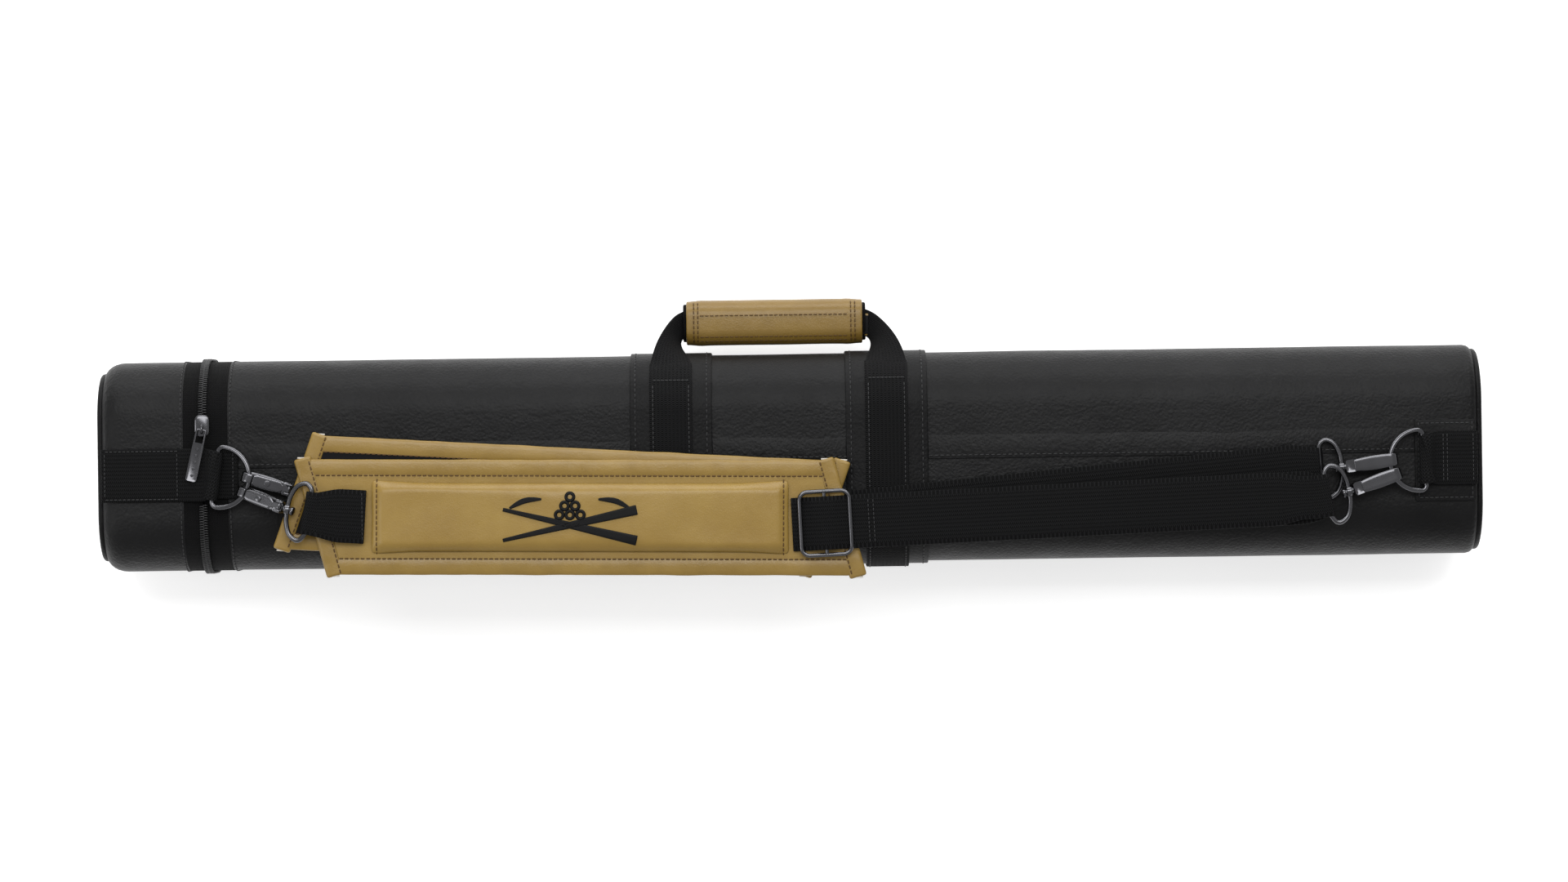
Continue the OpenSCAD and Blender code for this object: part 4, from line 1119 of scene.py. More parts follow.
def gate_shape(name):
    path = line_points((2.0 * MM, 0, 3.9 * MM), (21.0 * MM, 0, 3.9 * MM), 12)
    tongue = strap(name, path, 7 * MM, 1.7 * MM, lambda t: Vector((0, 1, 0)), cuts=24, round_edge=0.35,
                   widths=lambda t: 1.0 - 0.3 * ease((0.12 - t) * 8) - 0.5 * ease((t - 0.86) * 8))
    nothing_selected()
    bpy.ops.mesh.primitive_cylinder_add(vertices=24, radius=1.55 * MM, depth=3.2 * MM, location=(24.4 * MM, 0, 3.2 * MM), rotation=(math.pi / 2, 0, 0))
    knuckle = settle("knuckle")
    modify(knuckle, "BEVEL", width=0.3 * MM, segments=2, limit_method="ANGLE", angle_limit=math.radians(60))
    neck = block("neck", (20.4 * MM, -1.5 * MM, 3.05 * MM), (24 * MM, 1.5 * MM, 4.7 * MM))
    nothing_selected()
    bpy.ops.mesh.primitive_cylinder_add(vertices=24, radius=1.9 * MM, depth=0.9 * MM, location=(11 * MM, 0, 5.1 * MM))
    button = settle("button")
    modify(button, "BEVEL", width=0.4 * MM, segments=3, limit_method="ANGLE", angle_limit=math.radians(60))
    return joined(name, [tongue, knuckle, neck, button])


for name, spot in hook_spots.items():
    hook = hook_shape(f"snap_hook_{name}")
    hook.data.transform(spot)
    finish_piece(hook, "case", "gunmetal", GUNMETAL, f"hook_{name}", angle=45)
    gate = gate_shape(f"hook_gate_{name}")
    gate.data.transform(spot)
    finish_piece(gate, f"gate_{name}", "gunmetal", GUNMETAL, f"gate_{name}", angle=45)
print("hooks and gates done")

# %% Swivel eyes
for name, spot in eye_spots.items():
    half_bar, half_w = 12.5 * MM, 17 * MM
    marks = [(13 * MM, -half_bar), (13 * MM, 0), (13 * MM, half_bar), (10.6 * MM, half_w - 0.6 * MM), (7.4 * MM, half_w),
             (3.2 * MM, half_w - 3.0 * MM), (0.7 * MM, half_w - 9 * MM), (0, 3 * MM), (0, -3 * MM),
             (0.7 * MM, 9 * MM - half_w), (3.2 * MM, 3.0 * MM - half_w), (7.4 * MM, -half_w), (10.6 * MM, 0.6 * MM - half_w)]
    knots = [Vector((x, y, 0)) for x, y in marks] + [Vector((*marks[0], 0))]
    loop = [through(knots, i / 90) for i in range(90)]
    eye = wire(f"swivel_eye_{name}", [spot @ p for p in loop], 1.5 * MM, resolution=5)
    nothing_selected()
    bpy.ops.mesh.primitive_cylinder_add(vertices=28, radius=3.1 * MM, depth=3.2 * MM, rotation=(0, math.pi / 2, 0))
    barrel = settle("barrel")
    pick(barrel, lambda f: f.normal.x < -0.9)
    bpy.ops.mesh.inset(thickness=0.8 * MM)
    bpy.ops.transform.translate(value=(0.8 * MM, 0, 0))
    leave()
    modify(barrel, "BEVEL", width=0.45 * MM, segments=3, limit_method="ANGLE", angle_limit=math.radians(50))
    barrel.data.transform(spot)
    eye = joined(f"swivel_eye_{name}", [eye, barrel])
    finish_piece(eye, "case", "gunmetal", GUNMETAL, f"eye_{name}", angle=60)
print("eyes done")

# %% [markdown]
# ## Shoulder pads
# Each pad is a leather parallelogram with a stuffed panel along its middle and a folded binding on all four sides. The
# panel is made by cloth simulation: a thin box is remeshed into even cells, blown up by pressure, and its movement is
# capped, so that it swells in its middle and stays put at its seams. The seams are pressed in afterwards. The rear pad
# lies face down, so its black lining shows between its bindings.

# %% Pad frames
PAD_LEN, PAD_W, RIM_T = 323 * MM, 69 * MM, 2.6 * MM
PANEL_HALF = PAD_LEN / 2 - 34 * MM
PANEL_W = 48.4 * MM
front_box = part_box("pad_binding_front")
rear_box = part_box("pad_binding_rear")
FRONT_SPOT = Matrix.Translation((-125.5 * MM, -33.5 * MM, front_box[0].z)) @ Matrix.Rotation(math.radians(-0.9), 4, "Z")
REAR_SPOT = (Matrix.Translation((-136.5 * MM, -26 * MM, rear_box[1].z)) @ Matrix.Rotation(math.radians(-3.6), 4, "Z")
             @ Matrix.Rotation(math.pi, 4, "X"))
SLANT = math.radians(16)


def lean(y):
    """How far a pad's slanted end has moved along X at a height y."""
    return -y * math.tan(SLANT)


# %% A stuffed panel
def stuffed_panel(name, half, width, height):
    low = RIM_T - 0.4 * MM
    panel = block(name, (-half + 1.5 * MM, -width / 2 + 1.2 * MM, low), (half - 1.5 * MM, width / 2 - 1.2 * MM, low + height))
    modify(panel, "REMESH", mode="VOXEL", voxel_size=2.9 * MM)
    start = [v.co.copy() for v in panel.data.vertices]
    only(panel)
    cloth = panel.modifiers.new("stuffing", "CLOTH")
    cloth.settings.use_pressure = True
    cloth.settings.uniform_pressure_force = 4
    cloth.settings.effector_weights.gravity = 0
    cloth.settings.quality = 6
    cloth.settings.tension_stiffness = 20
    cloth.settings.bending_stiffness = 0.8
    cloth.point_cache.frame_start, cloth.point_cache.frame_end = 1, 20
    for step in range(1, 21):
        bpy.context.scene.frame_set(step)
    only(panel)
    bpy.ops.object.modifier_apply(modifier=cloth.name)
    bpy.context.scene.frame_set(1)
    for vertex, home in zip(panel.data.vertices, start):
        move = vertex.co - home
        limit = 1.6 * MM
        if move.length > limit:
            move = move.normalized() * limit
        vertex.co = home + move
    modify(panel, "SUBSURF", levels=1, render_levels=1)
    for vertex in panel.data.vertices:
        x, y, z = vertex.co
        ends = ease((half - abs(x)) / (9 * MM))
        sides = ease((width / 2 + 0.4 * MM - abs(y)) / (9 * MM))
        groove = math.exp(-((half - 6 * MM - abs(x)) / (1.1 * MM)) ** 2)
        crown = 0.30 + 0.70 * ends
        crown *= 0.28 + 0.72 * sides
        if z > low + height * 0.3:
            wave = 0.35 * MM * noise.noise(Vector((x / 0.03, y / 0.02, 4)))
            vertex.co.z = low + (z - low) * crown - 0.55 * MM * groove + wave * ends * sides
    return panel


# %% Straight pieces of a pad
def pad_base(name, thick, low):
    base = block(name, (-PAD_LEN / 2 + 7 * MM, -PAD_W / 2 + 5 * MM, low), (PAD_LEN / 2 - 7 * MM, PAD_W / 2 - 5 * MM, low + thick))
    pick(base, runs_along(0), "EDGE")
    bpy.ops.mesh.subdivide(number_cuts=60)
    leave()
    pick(base, runs_along(1), "EDGE")
    bpy.ops.mesh.subdivide(number_cuts=14)
    leave()
    for vertex in base.data.vertices:
        x, y, z = vertex.co
        share = x / (PAD_LEN / 2)
        vertex.co = (x + lean(y) * abs(share) ** 0.5 * 1.0 if abs(share) > 0.5 else x + lean(y) * (abs(share) / 0.5) ** 2 * 0.7, y, z)
        if z > low + thick / 2:
            vertex.co.z += 0.25 * MM * noise.noise(Vector((x / 0.02, y / 0.015, 7)))
    return base


def long_binding(name, side):
    """A folded strip on a pad's long side, puffed along its outer edge."""
    w = 11 * MM
    y = side * (PAD_W / 2 - w / 2)
    start = Vector((-PAD_LEN / 2 + lean(y) + 1.5 * MM, y, RIM_T / 2))
    stop = Vector((PAD_LEN / 2 + lean(y) - 1.5 * MM, y, RIM_T / 2))
    strip = strap(name, line_points(start, stop, 40), w, RIM_T, lambda t: Vector((0, side, 0)), cuts=110, round_edge=0.42)
    for vertex in strip.data.vertices:
        x, v, z = vertex.co
        out = (side * v - (PAD_W / 2 - w)) / w
        puff = 0.55 * math.sin(math.pi * max(0, min(1, out * 1.02))) - 0.35 * math.exp(-((out - 0.12) / 0.07) ** 2)
        wrinkle = 0.22 * noise.noise(Vector((x / 0.006, v / 0.02, side * 3))) * out
        vertex.co.z = RIM_T / 2 + (z - RIM_T / 2) * (0.8 + 0.75 * puff) + (2.2 * wrinkle * MM if z > RIM_T / 2 else 0)
        vertex.co.y += side * 0.35 * MM * noise.noise(Vector((x / 0.018, side * 5, 1)))
    return strip


def end_binding(name, end):
    """The slanted strip on a pad's end, laid over the long ones."""
    w = 10.5 * MM
    reach = PAD_W / 2 + 0.8 * MM
    across = Vector((end, 0, 0))
    points = []
    for i in range(31):
        y = -reach + 2 * reach * i / 30
        x = end * (PAD_LEN / 2 - w / 2) + lean(y)
        points.append(Vector((x, y, RIM_T / 2)))
    strip = strap(name, points, w, RIM_T + 0.5 * MM, lambda t: across, cuts=44, round_edge=0.42)
    for vertex in strip.data.vertices:
        x, y, z = vertex.co
        out = (end * (x - lean(y)) - (PAD_LEN / 2 - w)) / w
        puff = 0.5 * math.sin(math.pi * max(0, min(1, out)))
        wrinkle = 0.25 * noise.noise(Vector((x / 0.01, y / 0.005, end * 3))) * out
        vertex.co.z = RIM_T / 2 + (z - RIM_T / 2) * (0.85 + 0.6 * puff) + (2 * wrinkle * MM if z > RIM_T / 2 else 0)
    return strip


def raw_tip(name, spot, x, y):
    """The cut end of a slanted strip, where its pale core shows."""
    tip = block(name, (x - 2.6 * MM, y - 0.5 * MM, 0.75 * MM), (x + 2.6 * MM, y + 0.5 * MM, 2.2 * MM))
    modify(tip, "BEVEL", width=0.3 * MM, segments=2, limit_method="ANGLE", angle_limit=math.radians(40))
    tip.data.transform(spot)
    return finish_piece(tip, "case", "gold_leather", RAW_EDGE)


def height_on(piece, x, y):
    """The top of a piece at one place, found by a ray from above."""
    hit, where, _, _ = piece.ray_cast(Vector((x, y, 0.2)), Vector((0, 0, -1)))
    return where.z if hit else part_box("pad_front")[1].z


def pad_row(name, spot, points, height, onto=None):
    """Stitches at a height on a pad, or lying on the top of the piece given as onto."""
    top = [spot @ Vector((x, y, height)) for x, y in points]
    if onto:
        top = [Vector((p.x, p.y, height_on(onto, p.x, p.y) + 0.05 * MM)) for p in line_points(top[0], top[-1], 30)]
    up = spot.to_3x3() @ Vector((0, 0, 1 if height > RIM_T / 2 else -1))
    return stitched(name, top, up, "case", BROWN_THREAD, "gold_leather", pitch=3.2 * MM, length=2.3 * MM,
                    radius=0.42 * MM)


# %% Both pads
print("stuffing panels")
for which, spot, face_up in (("front", FRONT_SPOT, True), ("rear", REAR_SPOT, False)):
    panel = stuffed_panel(f"pad_panel_{which}", PANEL_HALF, PANEL_W, 3.9 * MM)
    if face_up:
        base = pad_base(f"pad_base_{which}", 2.0 * MM, 0.35 * MM)
        panel = joined(f"pad_panel_{which}", [panel, base])
        panel.data.transform(spot)
        finish_piece(panel, "case", "gold_leather", GOLD_LEATHER, "pad_front", angle=50)
    else:
        lining = pad_base("pad_lining_rear", 1.9 * MM, 0.25 * MM)
        lining.data.transform(spot)
        finish_piece(lining, "case", "pad_lining", LINING)
        panel.data.transform(spot)
        finish_piece(panel, "case", "gold_leather", GOLD_LEATHER, "pad_rear", angle=50)
    strips_here = [long_binding(f"binding_{which}_{s + 1}", s) for s in (-1, 1)]
    strips_here += [end_binding(f"binding_end_{which}_{e + 1}", e) for e in (-1, 1)]
    binding = joined(f"pad_binding_{which}_leather", strips_here)
    binding.data.transform(spot)
    finish_piece(binding, "case", "gold_leather", GOLD_BINDING, f"pad_binding_{which}", angle=50)
    seen = RIM_T + 0.05 * MM if face_up else -0.05 * MM
    for s in (-1, 1):
        y = s * (PAD_W / 2 - 9.6 * MM)
        pad_row(f"long_row_{which}_{s + 1}", spot,
                [(-PAD_LEN / 2 + lean(y) + 10 * MM, y), (PAD_LEN / 2 + lean(y) - 10 * MM, y)], seen)
    for e in (-1, 1):
        reach = PAD_W / 2 - 0.5 * MM
        x = e * (PAD_LEN / 2 - 8.8 * MM)
        pad_row(f"end_row_{which}_{e + 1}", spot, [(x + lean(-reach), -reach), (x + lean(reach), reach)],
                seen + (0.25 * MM if face_up else -0.25 * MM))
        for s in (-1, 1):
            y = s * (PAD_W / 2 + 0.7 * MM)
            raw_tip(f"raw_tip_{which}_{e + 1}{s + 1}", spot, e * (PAD_LEN / 2 - 5 * MM) + lean(y), y)
        if face_up:
            x, y = e * (PANEL_HALF - 6 * MM), PANEL_W / 2 - 1 * MM
            pad_row(f"panel_row_{e + 1}", spot, [(x, -y), (x, y)], RIM_T, onto=panel)
print("pads done")

# %% [markdown]
# ## Emblem
# The front panel carries an embroidered emblem. This one is a plain billiards emblem, two crossed cues over a
# rack of balls, sewn in raised satin stitch. It is made of small solid shapes, so that it catches light as thread does.

# %% Crossed cues and a rack of balls
EMBLEM_X, EMBLEM_Y = -6 * MM, -1 * MM
emblem_parts = []
for turn in (-13, 13):
    cue = strap("cue", line_points((-41 * MM, 0, 0), (41 * MM, 0, 0), 20), 6 * MM, 0.9 * MM, lambda t: Vector((0, 1, 0)),
                cuts=60, round_edge=0.4, widths=lambda t: 0.36 + 0.64 * t)
    cue.data.transform(Matrix.Translation((0, -3.5 * MM, 0)) @ Matrix.Rotation(math.radians(turn), 4, "Z"))
    emblem_parts.append(cue)
for row in range(3):
    for i in range(row + 1):
        x, y = (i - row / 2) * 6.3 * MM, (13.4 - row * 5.4) * MM
        nothing_selected()
        bpy.ops.mesh.primitive_torus_add(major_radius=2.3 * MM, minor_radius=1.0 * MM, major_segments=28, minor_segments=8, location=(x, y, 0))
        emblem_parts.append(settle("ball"))
for s in (-1, 1):
    swoosh = strap("branch", [through([Vector((s * 17 * MM, 12 * MM, 0)), Vector((s * 27 * MM, 11 * MM, 0)), Vector((s * 36 * MM, 6.5 * MM, 0))], i / 16) for i in range(17)],
                   3.4 * MM, 0.8 * MM, lambda t: Vector((0, 1, 0)), cuts=24, round_edge=0.4, widths=lambda t: math.sin(math.pi * (0.12 + 0.76 * t)))
    emblem_parts.append(swoosh)
emblem = joined("emblem_embroidery", emblem_parts)
emblem.data.transform(FRONT_SPOT @ Matrix.Translation((EMBLEM_X, EMBLEM_Y, 0)))
panel = bpy.data.objects["pad_panel_front"]
for vertex in emblem.data.vertices:
    x, y, z = vertex.co
    vertex.co.z = height_on(panel, x, y) + z - FRONT_SPOT.translation.z + 0.15 * MM
finish_piece(emblem, "case", "black_webbing", EMBLEM_THREAD, angle=50)
print("emblem", len(emblem.data.polygons), "faces")

# %% [markdown]
# ## Strap webbing and adjusters
# At its left end each pad has a short tab of doubled webbing that holds the eye. At its right end the strap passes an
# adjuster and runs on, doubled, to the right eye. The straps are laid along their paths as one ribbon each, so the
# fold round the eye's bar is part of the same weave.

# %% Tab webbing at the left end of each pad
def eye_bar(name):
    return eye_spots[name] @ Vector((13 * MM, 0, 0))


def fold_round(name, side, away):
    """Points round an eye's bar, seen from the strap: above the bar, round it, and back below."""
    bar = eye_bar(name)
    heading = math.radians(HOOK_FACTS[name][1] / 2)
    along = Vector((math.cos(heading), math.sin(heading), 0)) * side
    r = 1.5 * MM + WEB_T / 2 + 0.1 * MM
    found = [bar + along * away + UP * r * 0.8]
    for i in range(13):
        a = math.pi / 2 - math.pi * i / 12
        found.append(bar - along * r * math.cos(a) + UP * r * math.sin(a))
    found.append(bar + along * away - UP * r * 0.8)
    return found, along


for which, hook_name, spot, z_top in (("front", "left_front", FRONT_SPOT, front_box[0].z + RIM_T + 0.1 * MM), ("rear", "left_rear", REAR_SPOT, None)):
    up_face = which == "front"
    edge = spot @ Vector((-PANEL_HALF - 1.0 * MM, 0, 0))
    z = z_top + 1.5 * WEB_T if up_face else rear_box[0].z - 0.4 * MM - WEB_T * 0.5
    points, along = fold_round(hook_name, 1, 5 * MM)
    bar = eye_bar(hook_name)
    far_top = Vector((edge.x, edge.y, z))
    far_low = Vector((edge.x, edge.y, z - WEB_T * 1.05))
    top_run = [through([far_top, far_top.lerp(points[0], 0.5) + UP * 0.3 * MM, points[0]], i / 14) for i in range(14)]
    low_run = [through([points[-1], far_low.lerp(points[-1], 0.5) - UP * 0.1 * MM, far_low], i / 14) for i in range(1, 15)]
    path = top_run + points + low_run
    heading = math.radians(HOOK_FACTS[hook_name][1] / 2)

    def tab_across(t, heading=heading):
        share = 1 - abs(t - 0.5) / 0.5
        a = heading * ease(share * 1.6)
        return Vector((math.sin(a), -math.cos(a), 0))

    tab = strap(f"tab_webbing_{which}", path, 32 * MM, WEB_T, tab_across, cuts=110,
                widths=lambda t: 1 - 0.2 * ease((1 - abs(t - 0.5) / 0.5) * 1.9 - 0.7))
    finish_piece(tab, "case", "black_webbing", STRAP_WEB, f"tab_web_{which}")
    if up_face:
        for x in (0.8, 3.2):
            a = far_top + Vector((-x * MM - 0.8 * MM, -14 * MM, WEB_T / 2 + 0.1 * MM))
            b = far_top + Vector((-x * MM - 0.8 * MM, 14 * MM, WEB_T / 2 + 0.1 * MM))
            web_line(f"tab_row_{int(x)}", [a, b], UP, "case")
print("tabs done")

# %% Long webbing and adjusters
ADJ_D, ADJ_R = 30 * MM, 1.3 * MM
for which, hook_name, spot in (("front", "right_front", FRONT_SPOT), ("rear", "right_rear", REAR_SPOT)):
    face = 1 if which == "front" else -1
    panel_end_point = spot @ Vector((PANEL_HALF, 0, 0))
    tilt = math.radians(-0.9 if which == "front" else -3.6)
    mid = panel_end_point + Vector((math.cos(tilt), math.sin(tilt), 0)) * (ADJ_D / 2 + 4 * MM) + Vector((0, -3 * MM, 0))
    z = front_box[0].z + RIM_T + 0.2 * MM + WEB_T / 2 if which == "front" else rear_box[0].z - 0.2 * MM - WEB_T / 2
    bar = eye_bar(hook_name)
    heading = math.atan2(bar.y - mid.y, bar.x - mid.x)
    along = Vector((math.cos(heading), math.sin(heading), 0))
    frame_z = z + face * (WEB_T / 2 + 0.3 * MM + ADJ_R)
    place = Matrix.Translation((mid.x, mid.y, frame_z)) @ Matrix.Rotation(heading, 4, "Z")
    half_d, half_w, bend = ADJ_D / 2, 19 * MM, 5 * MM
    loop = []
    for q, (sx, sy) in enumerate(((1, 1), (-1, 1), (-1, -1), (1, -1))):
        loop += arc((sx * (half_d - bend), sy * (half_w - bend)), bend, 90 * q, 90 * q + 90, 8)
    adjuster = wire(f"adjuster_frame_{which}", [place @ p for p in loop], ADJ_R, resolution=5)
    centre = wire("centre_bar", [place @ Vector((0, y * MM, 0)) for y in (-19, -10, 0, 10, 19)], ADJ_R * 0.9, closed=False)
    nothing_selected()
    bpy.ops.mesh.primitive_uv_sphere_add(segments=20, ring_count=12, radius=1.9 * MM)
    knob = settle("knob")
    knob.data.transform(place @ Matrix.Translation((0, half_w, 0)) @ Matrix.Diagonal((1, 0.7, 0.8, 1)))
    knob2 = knob.copy()
    knob2.data = knob.data.copy()
    bpy.context.scene.collection.objects.link(knob2)
    knob2.data.transform(place @ Matrix.Translation((0, -2 * half_w, 0)) @ place.inverted())
    adjuster = joined(f"adjuster_frame_{which}", [adjuster, centre, knob, knob2])
    finish_piece(adjuster, "case", "gunmetal", GUNMETAL, f"adjuster_{which}", angle=60)

    points, _ = fold_round(hook_name, -1, 6 * MM)
    local = lambda x, h: place @ Vector((x * MM, 0, face * h * MM))
    over = [local(-20, -2.1), local(-16, -2.1), local(-12, -2.0), local(-8, -0.9), local(-4, 1.3), local(0, 2.1), local(4, 1.3),
            local(8, -0.6), local(12, -1.2), local(16, -1.0), local(20, -0.6), local(25, -0.4)]
    over = [through(over, i / 44) for i in range(45)]
    join = over[-1]
    near = points[0] if face > 0 else points[-1]
    top_run = [through([join, join.lerp(near, 0.33) + UP * 0.2 * MM, join.lerp(near, 0.66), near], i / 40) for i in range(1, 40)]
    ring = points if face > 0 else points[::-1]
    start_low = Vector((join.x, join.y, join.z - face * WEB_T * 1.06))
    back_run = [through([ring[-1], ring[-1].lerp(start_low, 0.33), ring[-1].lerp(start_low, 0.66), start_low], i / 40) for i in range(1, 41)]
    path = over + top_run + ring + back_run
    total = run_length(path)
    bar_share = (run_length(over + top_run) + 0.006) / total
    eye_heading = math.radians(HOOK_FACTS[hook_name][1] / 2)

    def long_across(t, heading=heading, eye_heading=eye_heading, bar_share=bar_share):
        near_eye = ease(1 - abs(t - bar_share) / 0.1)
        a = heading + (eye_heading - heading) * near_eye
        return Vector((-math.sin(a), math.cos(a), 0))

    long_web = strap(f"long_webbing_{which}", path, 32 * MM, WEB_T, long_across, cuts=330,
                     widths=lambda t, b=bar_share: 1 - 0.2 * ease((1 - abs(t - b) / 0.045) * 1.6))
    finish_piece(long_web, "case", "black_webbing", STRAP_WEB, f"long_web_{which}")
    for end in (26, 29):
        a, b = (place @ Vector((end * MM, s * 13 * MM, face * 0.55 * MM)) for s in (-1, 1))
        web_line(f"strap_row_{which}_{end}", [a, b], UP * face, "case")
print("straps done")

# %% [markdown]
# ## Handle
# The grip is a leather sleeve closed round a core, with the seam underneath, and the carrying webbing comes out of its
# ends and turns down onto the case. The sleeve is a bevelled block made soft by a slow wave.

# %% Grip sleeve and core
core_low, core_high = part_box("grip_core")
wrap_low, wrap_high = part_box("grip_wrap")


def soft_grip(name, low, high, cuts, wave):
    piece = block(name, low, high)
    radius = (high.z - low.z) / 2 * 0.97
    pick(piece, runs_along(0), "EDGE")
    bpy.ops.mesh.bevel(offset=radius, segments=8, affect="EDGES")
    leave()
    pick(piece, lambda e: runs_along(0)(e) and e.calc_length() > 0.05, "EDGE")
    bpy.ops.mesh.subdivide(number_cuts=cuts)
    leave()
    middle = Vector(((low.x + high.x) / 2, (low.y + high.y) / 2, (low.z + high.z) / 2))
    half = (high.x - low.x) / 2
    for vertex in piece.data.vertices:
        x, y, z = vertex.co
        end = 1 - 0.035 * (1 - ease((half - abs(x - middle.x)) / (9 * MM)))
        pinch = 1 + 0.012 * math.exp(-((half - 9 * MM - abs(x - middle.x)) / (3 * MM)) ** 2)
        swell = wave * noise.noise(Vector((x / 0.03, y / 0.02, z / 0.02)))
        vertex.co = (x, middle.y + (y - middle.y) * (end * pinch * 0.985 + swell), middle.z + (z - middle.z) * (end * 0.985 + swell))
    modify(piece, "BEVEL", width=0.7 * MM, segments=2, limit_method="ANGLE", angle_limit=math.radians(60))
    return piece


core = soft_grip("grip_filling", core_low, core_high, 12, 0.0)
finish_piece(core, "handle", "black_webbing", WEB, "grip_core")
wrap = soft_grip("grip_leather", wrap_low, wrap_high, 44, 0.02)
finish_piece(wrap, "handle", "gold_leather", GOLD_GRIP, "grip_wrap", angle=50)
wrap_mid = (wrap_low + wrap_high) / 2
half_y, half_z = (wrap_high.y - wrap_low.y) / 2, (wrap_high.z - wrap_low.z) / 2


def grip_surface(x, share, grow=0.25 * MM):
    """A point on the grip's top, share -1 to 1 across it, and its outward direction."""
    flat = half_y - half_z
    y = share * half_y
    if abs(y) <= flat:
        return Vector((x, wrap_mid.y + y, wrap_mid.z + half_z * 0.985 + grow)), UP
    a = math.asin(min(0.999, (abs(y) - flat) / half_z))
    n = Vector((0, math.copysign(math.sin(a), y), math.cos(a)))
    return Vector((x, wrap_mid.y + math.copysign(flat, y), wrap_mid.z)) + n * (half_z * 0.985 + grow), n


def grip_row(name, spots):
    stitched(name, [p for p, n in spots], [n for p, n in spots], "handle", BROWN_THREAD, "gold_leather")


for name, share in (("grip_top_row", 0.30), ("grip_low_row_a", -0.62), ("grip_low_row_b", -0.80)):
    spots = [grip_surface(wrap_low.x + 8 * MM + (wrap_high.x - wrap_low.x - 16 * MM) * i / 30, share) for i in range(31)]
    grip_row(name, spots)
for k, x in enumerate((wrap_low.x + 4.5 * MM, wrap_low.x + 7 * MM, wrap_high.x - 7 * MM, wrap_high.x - 4.5 * MM)):
    spots = [grip_surface(x, -0.85 + 1.7 * i / 20) for i in range(21)]
    grip_row(f"grip_end_row_{k}", spots)
flap = block("grip_flap", (wrap_high.x - 2 * MM, wrap_mid.y - 9 * MM, wrap_mid.z + 4.2 * MM),
             (wrap_high.x + 4.4 * MM, wrap_mid.y + 4.5 * MM, wrap_mid.z + 6.0 * MM))
modify(flap, "BEVEL", width=0.6 * MM, segments=2, limit_method="ANGLE", angle_limit=math.radians(40))
finish_piece(flap, "handle", "gold_leather", GOLD_GRIP)
inner_flap = block("grip_flap_inner", (wrap_high.x - 2 * MM, wrap_mid.y - 8 * MM, wrap_mid.z + 6.0 * MM),
                   (wrap_high.x + 3.7 * MM, wrap_mid.y + 3.2 * MM, wrap_mid.z + 6.9 * MM))
modify(inner_flap, "BEVEL", width=0.3 * MM, segments=2, limit_method="ANGLE", angle_limit=math.radians(40))
finish_piece(inner_flap, "handle", "black_webbing", LINING)

# %% Legs
legs = []
for side in (-1, 1):
    x_band = HANDLE_X + side * BAND_PITCH / 2
    x_grip = wrap_mid.x + side * ((wrap_high.x - wrap_low.x) / 2 - 5 * MM)
    for up in (-1, 1):
        lift = math.radians(38)
        r = CORNER + 1.4 * MM + WEB_T / 2
        shoulder = Vector((x_band, FLAT_Y + r * math.cos(lift), MID_Z + up * (FLAT_Z + r * math.sin(lift))))
        behind = Vector((x_band, FLAT_Y + r * math.cos(lift + 0.12), MID_Z + up * (FLAT_Z + r * math.sin(lift + 0.12))))
        goal = Vector((x_grip, wrap_mid.y, MID_Z + up * 1.6 * MM))
        p1 = shoulder + (shoulder - behind).normalized() * 14 * MM
        p2 = goal + Vector((side * 17 * MM, 0, up * 2.5 * MM))
        path = [behind] + [bend4(shoulder, p1, p2, goal, i / 36) for i in range(37)]

        def leg_across(t, side=side):
            a = math.radians(90) * ease(t * 1.12)
            return Vector((side * math.cos(a), math.sin(a), 0))

        leg = strap(f"leg_{side}_{up}", path, BAND_W, WEB_T, leg_across, cuts=64,
                    widths=lambda t: 1 - 0.34 * ease(t * 1.3) - 0.12 * math.sin(math.pi * t))
        legs.append(leg)
legs = joined("handle_leg_webbing", legs)
tidy = bmesh.new()
tidy.from_mesh(legs.data)
bmesh.ops.recalc_face_normals(tidy, faces=tidy.faces)
tidy.to_mesh(legs.data)
tidy.free()
finish_piece(legs, None, "black_webbing", WEB, "handle_legs")
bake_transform(legs)
print("handle done")

# %% [markdown]
# ## Pocket
# A flat pocket is sewn to the side that the case lies on, with a zip along one edge. It starts as a block with round
# corners, and its upper faces are then fitted to the round belly of the case.

# %% Pouch
pouch_low, pouch_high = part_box("pocket_pouch")


def belly(x, y):
    """Height of the underside of the case, less what the strips and bands take."""
    d = max(0.0, abs(y) - FLAT_Y)
    z = BOTTOM + CORNER - math.sqrt(max(0.0, CORNER**2 - d * d))
    under = any(abs(x - (HANDLE_X + s * BAND_PITCH / 2)) < 25.5 * MM for s in (-1, 1))
    return z - (3.5 * MM if under else 0.2 * MM)


